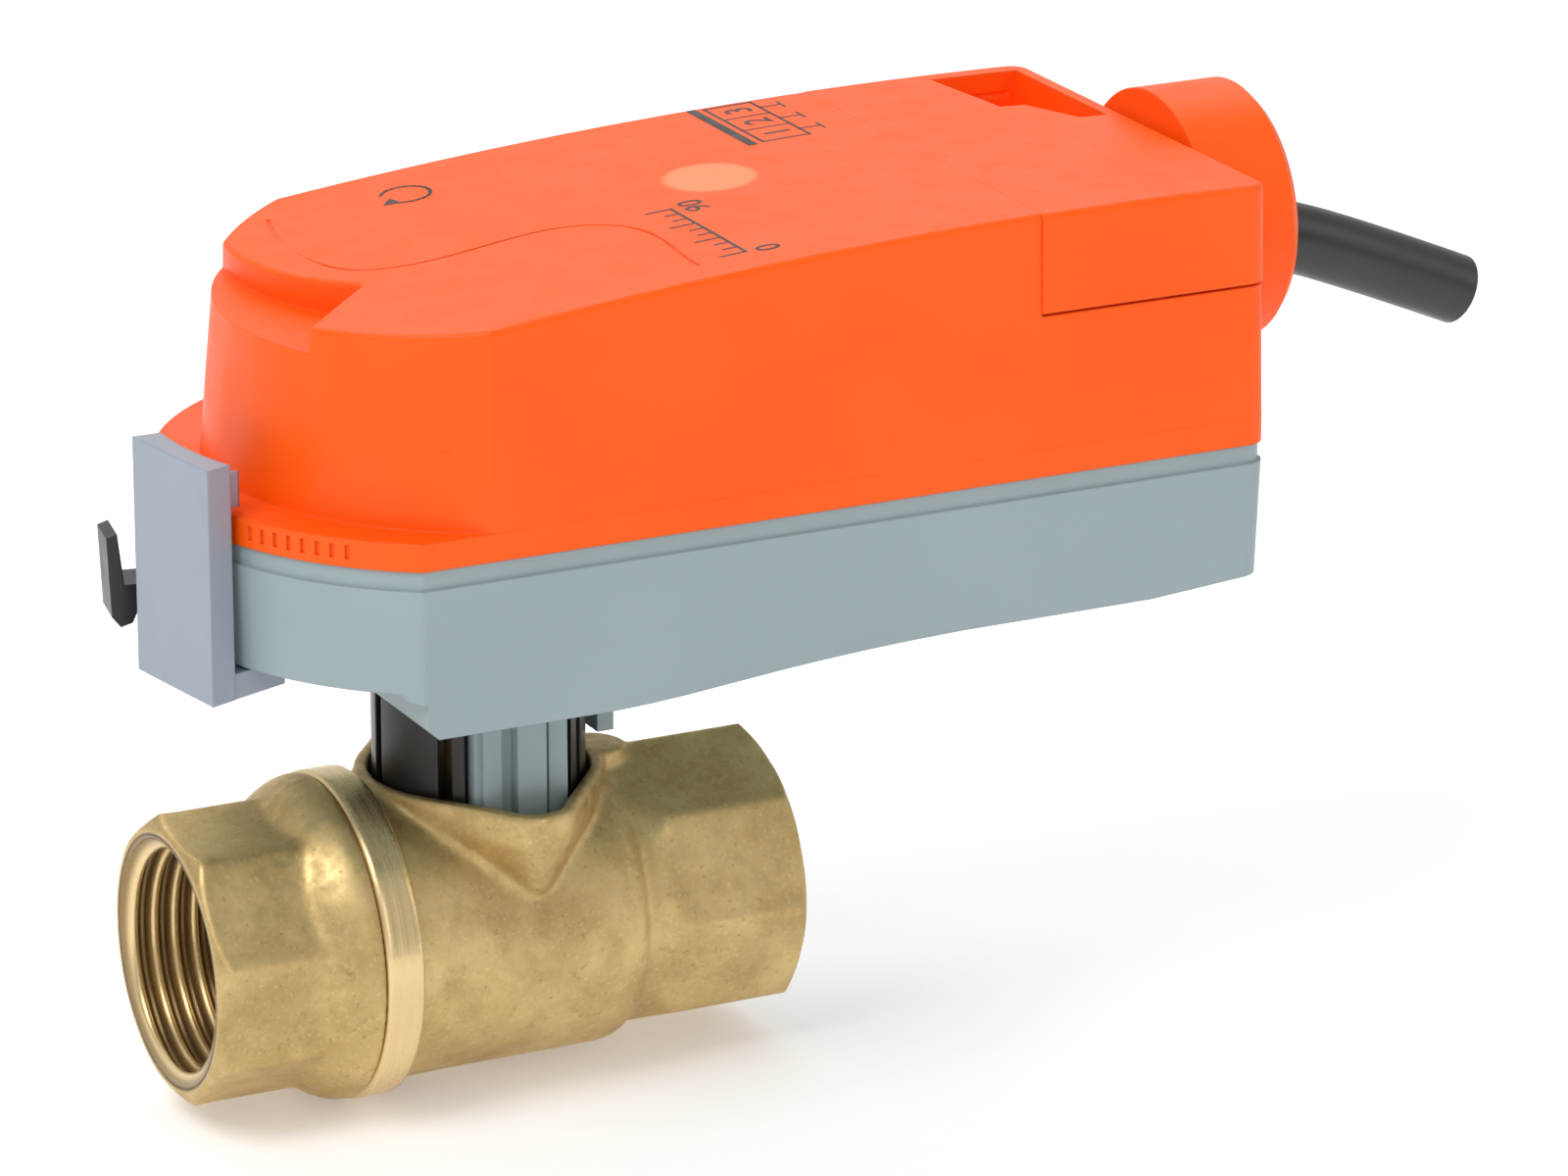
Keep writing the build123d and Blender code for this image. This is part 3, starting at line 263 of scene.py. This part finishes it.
def moulded_plastic(name, colour, roughness, grain=0.35, edge_radius=mm(0.25), lift=0.06, gleam=0.5):
    """Fine-grained moulded plastic: a spark-eroded grain, faint flow marks and softly lit edges."""
    n = Nodes(name)
    cloud = n.noise(55.0, 3.0)
    lighter = tuple(min(1.0, c * (1 + lift) + 0.004) for c in colour[:3]) + (1.0,)
    darker = tuple(c * (1 - lift) for c in colour[:3]) + (1.0,)
    base = n.mix(n.ramp(cloud, 0.3, 0.7), darker, lighter)
    rounded, turn = n.edge(edge_radius)
    # painted highlight: where the surface turns, the colour is mixed towards a paler copy of itself
    pale = tuple(min(1.0, c * 1.25 + 0.015) for c in colour[:3]) + (1.0,)
    base = n.mix(n.math("MULTIPLY", turn, 0.55), base, pale)
    fine = n.noise(5200.0, 2.0, 0.6)
    coarse = n.noise(1500.0, 1.0)
    relief = n.math("ADD", n.math("MULTIPLY", fine, 0.6), coarse)
    rough = n.ramp(n.noise(260.0, 2.0), 0.3, 0.7, roughness - 0.04, roughness + 0.05)
    return n.finish(
        Base_Color=base,
        Roughness=rough,
        Specular_IOR_Level=gleam,
        Normal=n.bump(relief, grain, mm(0.012), rounded),
    )


def forged_brass(name):
    """Tumbled forging: speckled grain, brown pits, painted dark brown shade in the thread roots, and edges
    paler from rubbed wear and a painted highlight.
    The ring and the insides of the ports are turned bright, found by their place in the frame."""
    n = Nodes(name)
    rounded, turn = n.edge(mm(0.5), 6)
    patches = n.ramp(n.noise(150.0, 4.0, 0.6), 0.30, 0.72)
    base = n.mix(patches, rgb(188, 160, 106), rgb(216, 190, 134))
    speck = n.ramp(n.noise(2600.0, 3.0, 0.7), 0.52, 0.72)
    base = n.mix(n.math("MULTIPLY", speck, 0.45), base, rgb(230, 208, 158))
    pits = n.ramp(n.noise(1800.0, 3.0, 0.65), 0.60, 0.74)
    base = n.mix(n.math("MULTIPLY", pits, 0.4), base, rgb(118, 92, 50))
    stain = n.ramp(n.noise(45.0, 5.0, 0.6), 0.52, 0.74)
    base = n.mix(n.math("MULTIPLY", stain, 0.3), base, rgb(140, 110, 62))
    # painted highlight along the edges, partly rubbed wear: paler brass where the surface turns
    base = n.mix(n.math("MULTIPLY", turn, 0.75), base, rgb(236, 206, 146))
    # turned places
    split = n.add("ShaderNodeSeparateXYZ", Vector=n.place)
    along = n.math("SUBTRACT", split.outputs["X"], STEM_X + RING_MIDDLE)
    on_ring = n.ramp(n.math("ABSOLUTE", along), mm(1.78), mm(1.70))
    square = n.math("POWER", split.outputs["Y"], 2.0)
    square = n.math("ADD", square, n.math("POWER", split.outputs["Z"], 2.0))
    from_axis = n.math("SQRT", square)
    inside = n.ramp(from_axis, mm(10.95), mm(10.75))
    outside_ring = n.ramp(from_axis, mm(12.9), mm(13.2))
    turned = n.math("MAXIMUM", inside, n.math("MULTIPLY", on_ring, outside_ring))
    lathe = n.add("ShaderNodeCombineXYZ", X=split.outputs["X"], Y=from_axis)
    marks = n.noise(5200.0, 2.0, 0.5, lathe.outputs[0])
    bright = n.mix(marks, rgb(226, 198, 144), rgb(238, 214, 164))
    base = n.mix(turned, base, bright)
    # painted shade: the thread roots inside the ports are darkened to brown
    painted_root_shade = n.math("MULTIPLY", n.ramp(from_axis, mm(9.45), mm(10.25)), inside)
    base = n.mix(n.math("MULTIPLY", painted_root_shade, 0.72), base, rgb(96, 66, 26))
    rough_forged = n.ramp(n.noise(900.0, 3.0), 0.3, 0.7, 0.40, 0.58)
    rough = n.mix(turned, rough_forged, n.ramp(marks, 0.3, 0.7, 0.22, 0.34))
    grain = n.math("ADD", n.noise(2400.0, 3.0, 0.65), n.math("MULTIPLY", n.noise(700.0, 2.0), 0.8))
    grain = n.math("MULTIPLY", grain, n.ramp(turned, 0.0, 1.0, 1.0, 0.12))
    return n.finish(
        Base_Color=base,
        Metallic=0.92,
        Roughness=rough,
        Normal=n.bump(grain, 0.42, mm(0.03), rounded),
    )


def machined_metal(name, colour, roughness, streak=(1.0, 1.0, 1.0), metallic=1.0):
    """Metal with fine tool marks, stretched along one axis of the frame."""
    n = Nodes(name)
    stretch = n.add("ShaderNodeMapping", Vector=n.place)
    stretch.inputs["Scale"].default_value = streak
    marks = n.noise(1800.0, 3.0, 0.6, stretch.outputs[0])
    rounded, turn = n.edge(mm(0.12))
    darker = tuple(c * 0.86 for c in colour[:3]) + (1.0,)
    base = n.mix(n.ramp(marks, 0.3, 0.7), darker, colour)
    # painted highlight: where the surface turns, the colour is mixed towards near white
    base = n.mix(n.math("MULTIPLY", turn, 0.5), base, (0.95, 0.95, 0.94, 1))
    return n.finish(
        Base_Color=base,
        Metallic=metallic,
        Roughness=n.ramp(marks, 0.25, 0.75, roughness - 0.05, roughness + 0.08),
        Normal=n.bump(marks, 0.15, mm(0.01), rounded),
    )


def soft_rubber(name, colour):
    n = Nodes(name)
    cloud = n.noise(420.0, 3.0)
    base = n.mix(cloud, colour, tuple(c * 1.6 + 0.004 for c in colour[:3]) + (1.0,))
    return n.finish(
        Base_Color=base,
        Roughness=n.ramp(cloud, 0.3, 0.7, 0.55, 0.72),
        Normal=n.bump(n.noise(3000.0, 2.0), 0.25, mm(0.01)),
    )


def circuit_laminate(name):
    """Solder mask with tracks under it, woven glass showing faintly."""
    n = Nodes(name)
    tracks = n.add("ShaderNodeTexBrick", Vector=n.place, Scale=420.0)
    tracks.offset = 0.35
    tracks.inputs["Mortar Size"].default_value = 0.035
    glass = n.add("ShaderNodeTexChecker", Vector=n.place, Scale=2600.0)
    weave = n.mix(glass.outputs["Fac"], rgb(24, 84, 46), rgb(28, 92, 52))
    base = n.mix(n.math("SUBTRACT", 1.0, tracks.outputs["Fac"]), rgb(60, 132, 74), weave)
    return n.finish(
        Base_Color=base,
        Roughness=n.ramp(n.noise(300.0, 2.0), 0.3, 0.7, 0.28, 0.40),
        Normal=n.bump(tracks.outputs["Fac"], 0.3, mm(0.02)),
    )


def print_ink(name):
    """Pad-printed ink, slightly worn where it is thin."""
    n = Nodes(name)
    worn = n.ramp(n.noise(1900.0, 3.0, 0.6), 0.62, 0.78)
    return n.finish(
        Base_Color=n.mix(n.math("MULTIPLY", worn, 0.5), rgb(52, 40, 36), rgb(120, 60, 36)),
        Roughness=n.ramp(n.noise(700.0, 2.0), 0.3, 0.7, 0.42, 0.55),
    )


def core_insulation(name):
    """Three insulated wires side by side: black, red and white from the near side, with a soft sheen."""
    n = Nodes(name)
    side = n.add("ShaderNodeSeparateXYZ", Vector=n.place).outputs["Y"]
    tone = n.mix(n.ramp(side, mm(-0.8), mm(-0.7)), rgb(34, 34, 36), rgb(176, 40, 30))
    tone = n.mix(n.ramp(side, mm(0.7), mm(0.8)), tone, rgb(226, 224, 216))
    cloud = n.noise(400.0, 2.0)
    return n.finish(
        Base_Color=n.mix(n.math("MULTIPLY", cloud, 0.12), tone, rgb(120, 110, 100)),
        Roughness=n.ramp(cloud, 0.3, 0.7, 0.32, 0.42),
        Normal=n.bump(n.noise(2500.0, 2.0), 0.15, mm(0.01)),
    )


ORANGE = rgb(255, 91, 0)
GREY = rgb(148, 164, 167)
# the painted highlight in the top's round dish: its middle, and the radii where it is full and where it
# has faded
DISH_HIGHLIGHT_SPOT = stem(22.9, 2.6, 60.0)
DISH_HIGHLIGHT_FULL_R = mm(3.4)
DISH_HIGHLIGHT_FADED_R = mm(4.4)


def orange_plastic(name):
    """The cover's plastic, paler in a painted highlight in the top's round dish."""
    material = moulded_plastic(name, ORANGE, 0.42, lift=0.02, gleam=0.25)
    tree = material.node_tree
    colour = tree.nodes["Principled BSDF"].inputs["Base Color"]
    place = tree.nodes.new("ShaderNodeTexCoord")
    reach = tree.nodes.new("ShaderNodeVectorMath")
    reach.operation = "DISTANCE"
    reach.inputs[1].default_value = DISH_HIGHLIGHT_SPOT
    tree.links.new(place.outputs["Object"], reach.inputs[0])
    share = tree.nodes.new("ShaderNodeMapRange")
    share.interpolation_type = "SMOOTHSTEP"
    share.inputs["From Min"].default_value = DISH_HIGHLIGHT_FADED_R
    share.inputs["From Max"].default_value = DISH_HIGHLIGHT_FULL_R
    share.inputs["To Max"].default_value = 0.6
    tree.links.new(reach.outputs["Value"], share.inputs["Value"])
    # painted highlight: the colour is mixed towards a pale orange inside the dish
    pale = tree.nodes.new("ShaderNodeMix")
    pale.data_type = "RGBA"
    pale.inputs[7].default_value = rgb(255, 168, 118)
    tree.links.new(share.outputs["Result"], pale.inputs[0])
    tree.links.new(colour.links[0].from_socket, pale.inputs[6])
    tree.links.new(pale.outputs[2], colour)
    return material


MATERIALS = {
    "forged_brass": forged_brass("forged_brass"),
    "turned_brass": machined_metal("turned_brass", rgb(222, 192, 128), 0.28, (0.2, 0.2, 3.0)),
    "orange_plastic": orange_plastic("orange_plastic"),
    "grey_plastic": moulded_plastic("grey_plastic", GREY, 0.48, lift=0.02),
    "black_plastic": moulded_plastic("black_plastic", rgb(28, 27, 27), 0.36, lift=0.2),
    "print_ink": print_ink("print_ink"),
    "cable_jacket": moulded_plastic("cable_jacket", rgb(44, 46, 45), 0.34, 0.25, mm(0.1), 0.12),
    "core_insulation": core_insulation("core_insulation"),
    "circuit_laminate": circuit_laminate("circuit_laminate"),
    "component_plastic": moulded_plastic("component_plastic", rgb(38, 38, 42), 0.5, 0.5, mm(0.1)),
    "terminal_plastic": moulded_plastic("terminal_plastic", rgb(70, 118, 86), 0.4, 0.2, mm(0.15)),
    "plated_steel": machined_metal("plated_steel", rgb(200, 202, 204), 0.3, (3.0, 0.4, 0.4)),
    "motor_steel": machined_metal("motor_steel", rgb(178, 180, 184), 0.35, (0.3, 0.3, 4.0)),
    "gear_nylon": moulded_plastic("gear_nylon", rgb(232, 228, 214), 0.42, 0.15, mm(0.08), 0.03),
    "coupling_nylon": moulded_plastic("coupling_nylon", rgb(214, 210, 196), 0.46, 0.2, mm(0.1), 0.04),
    "chromed_ball": machined_metal("chromed_ball", rgb(226, 228, 230), 0.1),
    "seat_ptfe": moulded_plastic("seat_ptfe", rgb(236, 236, 232), 0.5, 0.1, mm(0.1), 0.02),
    "seal_rubber": soft_rubber("seal_rubber", rgb(26, 26, 27)),
}


CLIP_GREY = moulded_plastic("clip_grey", rgb(150, 160, 172), 0.46, lift=0.02)


def clothe_cad():
    """Gives every CAD node the material of the slot that the record names for it."""
    slots = {row["node"]: row["material_slot"] for row in frame["record"]["subparts"]}
    for name, piece in nodes.items():
        piece.data.materials.clear()
        piece.data.materials.append(CLIP_GREY if name == "flow_limit_clip" else MATERIALS[slots[name]])


clothe_cad()


# ---------------------------------------------------------------- cable
CABLE_ROUTE = [(55.6, 50.9), (66.0, 50.9), (75.4, 49.5), (84.8, 45.9), (94.2, 41.8)]
CABLE_DIAMETER = mm(6.2)


def smooth_curve(name, points, radius):
    """A round cable along a NURBS spline that has these points as its control points."""
    data = bpy.data.curves.new(name, "CURVE")
    data.dimensions = "3D"
    data.bevel_depth = radius
    data.bevel_resolution = 12
    data.resolution_u = 24
    data.use_fill_caps = True
    spline = data.splines.new("NURBS")
    spline.points.add(len(points) - 1)
    for point, place in zip(spline.points, points):
        point.co = (*place, 1.0)
    spline.order_u = 3
    spline.use_endpoint_u = True
    curve = bpy.data.objects.new(name, data)
    bpy.context.scene.collection.objects.link(curve)
    return curve


cable_points = [stem(x, 0, z) for x, z in CABLE_ROUTE]
cable_piece = smooth_curve("cable_outer", cable_points, CABLE_DIAMETER / 2)
cable_piece.data.materials.append(MATERIALS["cable_jacket"])
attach(cable_piece, BODY_HOUSING)
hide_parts("cable")


# ---------------------------------------------------------------- forged brass bodies with helical threads
VOXEL = mm(0.22)
THREAD_R = mm(9.315)
THREAD_DEPTH = mm(1.03)
PITCH = mm(1.814)
PORT_DEPTH = mm(13.6)
MOUTH_R = mm(10.65)
MOUTH_CHAMFER = mm(0.45)
SLEEVE_R = mm(10.72)
HIDDEN_WALL_R = MOUTH_R - mm(0.03)
SMOOTH_ROUNDS = 26


def even_mesh(name):
    """Points, quads and edges of a CAD node's shape in small even faces that lie on its surface."""
    source = nodes[name]
    copy = bpy.data.objects.new(name + "_copy", source.data.copy())
    bpy.context.scene.collection.objects.link(copy)
    remesh = copy.modifiers.new("remesh", "REMESH")
    remesh.mode = "VOXEL"
    remesh.voxel_size = VOXEL
    graph = bpy.context.evaluated_depsgraph_get()
    mesh = bpy.data.meshes.new_from_object(copy.evaluated_get(graph))
    bpy.data.objects.remove(copy)
    tree = BVHTree.FromPolygons(
        [v.co for v in source.data.vertices], [f.vertices[:] for f in source.data.polygons]
    )
    points = []
    for vertex in mesh.vertices:
        near = tree.find_nearest(vertex.co, VOXEL * 2)[0]
        points.append(near if near is not None else vertex.co)
    points = np.array(points, float)
    faces = [tuple(f.vertices) for f in mesh.polygons]
    edges = np.array([tuple(e.vertices) for e in mesh.edges])
    bpy.data.meshes.remove(mesh)
    return points, faces, edges


def smoothed(points, edges, weight, rounds):
    """Each point drawn towards the mean of its neighbours, as far as its weight says."""
    total = len(points)
    count = np.bincount(edges.ravel(), minlength=total)
    count = np.maximum(count, 1)[:, None]
    for _ in range(rounds):
        around = np.zeros_like(points)
        for axis in range(3):
            around[:, axis] += np.bincount(edges[:, 0], points[edges[:, 1], axis], total)
            around[:, axis] += np.bincount(edges[:, 1], points[edges[:, 0], axis], total)
        points = points + weight[:, None] * (around / count - points)
    return points


def step_between(value, low, high):
    share = np.clip((value - low) / (high - low), 0, 1)
    return share * share * (3 - 2 * share)


def forging_weight(points, mouth_x):
    """How soft the forging is: full on the outside, slight at the mouth, the ring and the stem's
    collar, and none inside."""
    x = points[:, 0] - STEM_X
    from_pipe = np.hypot(points[:, 1], points[:, 2])
    from_stem = np.hypot(x, points[:, 1])
    weight = 0.5 * step_between(from_pipe, mm(10.95), mm(11.2))
    off_mouth = np.abs(points[:, 0] - mouth_x)
    weight *= 0.08 + 0.92 * step_between(off_mouth, mm(0.7), mm(2.2))
    off_ring = np.abs(x - RING_MIDDLE)
    weight *= 0.02 + 0.98 * step_between(off_ring, mm(1.9), mm(2.9))
    in_collar = step_between(points[:, 2], mm(11.5), mm(14.0))
    in_collar *= step_between(from_stem, mm(13.0), mm(11.5))
    return weight * (1 - 0.93 * in_collar)


def port_sleeve(mouth_x, inward, around=256, rise=mm(0.07)):
    """Points and quads of a closed sleeve with a right-handed helical thread inside and a chamfered
    mouth."""
    depth = np.linspace(0, PORT_DEPTH, int(PORT_DEPTH / rise) + 1)
    turn = np.linspace(0, 2 * math.pi, around, endpoint=False)
    deep, angle = np.meshgrid(depth, turn, indexing="ij")
    phase = np.mod(inward * deep / PITCH - angle / (2 * math.pi), 1)
    slope = np.clip((np.abs(phase - 0.5) * 2 - 0.12) / 0.76, 0, 1)
    slope = 0.55 * slope + 0.45 * slope * slope * (3 - 2 * slope)
    run_out = np.clip((PORT_DEPTH - mm(0.5) - deep) / mm(1.5), 0, 1)
    radius = THREAD_R + THREAD_DEPTH * slope * run_out
    radius = np.maximum(radius, MOUTH_R - deep * (MOUTH_R - THREAD_R) / MOUTH_CHAMFER)
    radius = np.vstack([np.full(around, SLEEVE_R), radius, np.full(around, SLEEVE_R)])
    deep = np.vstack([np.full(around, mm(0.03)), deep, np.full(around, PORT_DEPTH)])
    angle = np.vstack([turn, angle, turn])
    rows = len(deep)
    points = np.stack(
        [mouth_x + inward * deep, radius * np.cos(angle), radius * np.sin(angle)], axis=-1
    ).reshape(-1, 3)
    faces = []
    for row in range(rows):
        below = (row + 1) % rows
        for column in range(around):
            beside = (column + 1) % around
            quad = (
                row * around + column,
                row * around + beside,
                below * around + beside,
                below * around + column,
            )
            faces.append(quad if inward > 0 else quad[::-1])
    return points, faces


def forged_piece(name, mouth_x, inward):
    """Stands for a brass CAD node: the same casting with soft forged edges and a thread in its port."""
    points, faces, edges = even_mesh(name)
    deep = inward * (points[:, 0] - mouth_x)
    from_pipe = np.hypot(points[:, 1], points[:, 2])
    in_port = (deep < PORT_DEPTH - mm(0.25)) & (from_pipe < HIDDEN_WALL_R)
    push = np.where(in_port, HIDDEN_WALL_R / np.maximum(from_pipe, mm(0.1)), 1.0)
    points[:, 1] *= push
    points[:, 2] *= push
    points = smoothed(points, edges, forging_weight(points, mouth_x), SMOOTH_ROUNDS)
    sleeve_points, sleeve_faces = port_sleeve(mouth_x, inward)
    shift = len(points)
    faces += [tuple(corner + shift for corner in face) for face in sleeve_faces]
    mesh = bpy.data.meshes.new(name + "_forged")
    mesh.from_pydata(np.vstack([points, sleeve_points]).tolist(), [], faces)
    mesh.shade_smooth()
    mesh.materials.append(MATERIALS["forged_brass"])
    piece = bpy.data.objects.new(name + "_forged", mesh)
    bpy.context.scene.collection.objects.link(piece)
    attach(piece, BODY_HOUSING)
    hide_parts(name)


forged_piece("end_connector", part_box("end_connector")[0].x, 1)
forged_piece("valve_body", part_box("valve_body")[1].x, -1)

# ---------------------------------------------------------------- print on the cover's top
cover_mesh = nodes["cover"].data
cover_tree = BVHTree.FromPolygons(
    [v.co for v in cover_mesh.vertices], [f.vertices[:] for f in cover_mesh.polygons]
)
PRINT_HEIGHT = mm(0.02)


def on_top(x, y):
    """The point of the print just over the cover, x and y in millimetres from the stem axis."""
    start = stem(x, y, 80)
    hit = cover_tree.ray_cast(start, Vector((0, 0, -1)))[0]
    return Vector((start.x, start.y, hit.z + PRINT_HEIGHT))


def stroke(points, width):
    """Quads of a line through these places on the top, in pieces short enough to follow its curve."""
    quads = []
    for (x0, y0), (x1, y1) in zip(points, points[1:]):
        length = math.hypot(x1 - x0, y1 - y0)
        across_x, across_y = -(y1 - y0) / length * width / 2, (x1 - x0) / length * width / 2
        along_x, along_y = (x1 - x0) / length * width / 2, (y1 - y0) / length * width / 2
        x0, y0, x1, y1 = x0 - along_x, y0 - along_y, x1 + along_x, y1 + along_y
        parts = max(1, math.ceil(length / 1.2))
        for part in range(parts):
            a, b = part / parts, (part + 1) / parts
            ax, ay = x0 + (x1 - x0) * a, y0 + (y1 - y0) * a
            bx, by = x0 + (x1 - x0) * b, y0 + (y1 - y0) * b
            near = [(ax - across_x, ay - across_y), (bx - across_x, by - across_y)]
            far = [(bx + across_x, by + across_y), (ax + across_x, ay + across_y)]
            quads.append(near + far)
    return quads


def words(text, x, y, height, weight=0.0):
    """Polygons of a line of text that reads along +Y, its first letter's foot at x, y."""
    data = bpy.data.curves.new("words", "FONT")
    data.body = text
    data.size = height / 0.72
    data.offset = weight
    data.resolution_u = 3
    written = bpy.data.objects.new("words", data)
    bpy.context.scene.collection.objects.link(written)
    graph = bpy.context.evaluated_depsgraph_get()
    mesh = bpy.data.meshes.new_from_object(written.evaluated_get(graph))
    places = [(x - vertex.co.y, y + vertex.co.x) for vertex in mesh.vertices]
    shapes = [[places[i] for i in face.vertices] for face in mesh.polygons]
    bpy.data.objects.remove(written)
    bpy.data.meshes.remove(mesh)
    return shapes


def make_print():
    """A plain wiring frame for terminals 1 to 3, a scale from 0 to 90 and a turning arrow."""
    shapes = []
    left, right, low, high = 9.4, 20.8, 31.2, 35.6
    shapes += stroke([(low, left), (high, left), (high, right), (low, right), (low, left)], 0.28)
    for share in (1 / 3, 2 / 3):
        y = left + (right - left) * share
        shapes += stroke([(low, y), (high, y)], 0.24)
    for index in range(3):
        y = left + (right - left) * (index + 0.5) / 3
        shapes += words(str(index + 1), high - 0.9, y - 0.75, 2.5, 0.03)
        shapes += stroke([(high, y), (high + 2.0, y)], 0.24)
        shapes += stroke([(high + 2.0, y - 0.8), (high + 2.0, y + 0.8)], 0.24)
    shapes += stroke([(low - 1.1, left), (low - 1.1, right)], 0.9)
    scale_x, long_tick_x, short_tick_x = 16.4, 14.2, 15.2
    scale_y = [-17.4 + 1.55 * mark for mark in range(10)]
    shapes += stroke([(scale_x, scale_y[0]), (scale_x, scale_y[-1])], 0.3)
    for mark, y in enumerate(scale_y):
        shapes += stroke([(scale_x, y), (long_tick_x if mark % 3 == 0 else short_tick_x, y)], 0.28)
    shapes += words("0", 19.4, -18.2, 2.2, 0.03)
    shapes += words("90", 19.4, -5.2, 2.2, 0.03)
    arrow_x, arrow_y, arrow_r = 0.6, 14.8, 2.1
    arc = []
    for step in range(19):
        turn = math.radians(-60 + 300 * step / 18)
        arc.append((arrow_x + arrow_r * math.sin(turn), arrow_y + arrow_r * math.cos(turn)))
    shapes += stroke(arc, 0.32)
    tip_x, tip_y = arc[-1]
    shapes.append([(tip_x - 0.9, tip_y - 0.5), (tip_x + 0.7, tip_y - 0.9), (tip_x + 0.3, tip_y + 0.9)])
    points, faces = [], []
    for shape in shapes:
        faces.append(tuple(range(len(points), len(points) + len(shape))))
        points += [on_top(x, y) for x, y in shape]
    mesh = bpy.data.meshes.new("cover_print")
    mesh.from_pydata(points, [], faces)
    mesh.materials.append(MATERIALS["print_ink"])
    piece = bpy.data.objects.new("cover_print", mesh)
    bpy.context.scene.collection.objects.link(piece)
    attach(piece, BODY_HOUSING)


make_print()
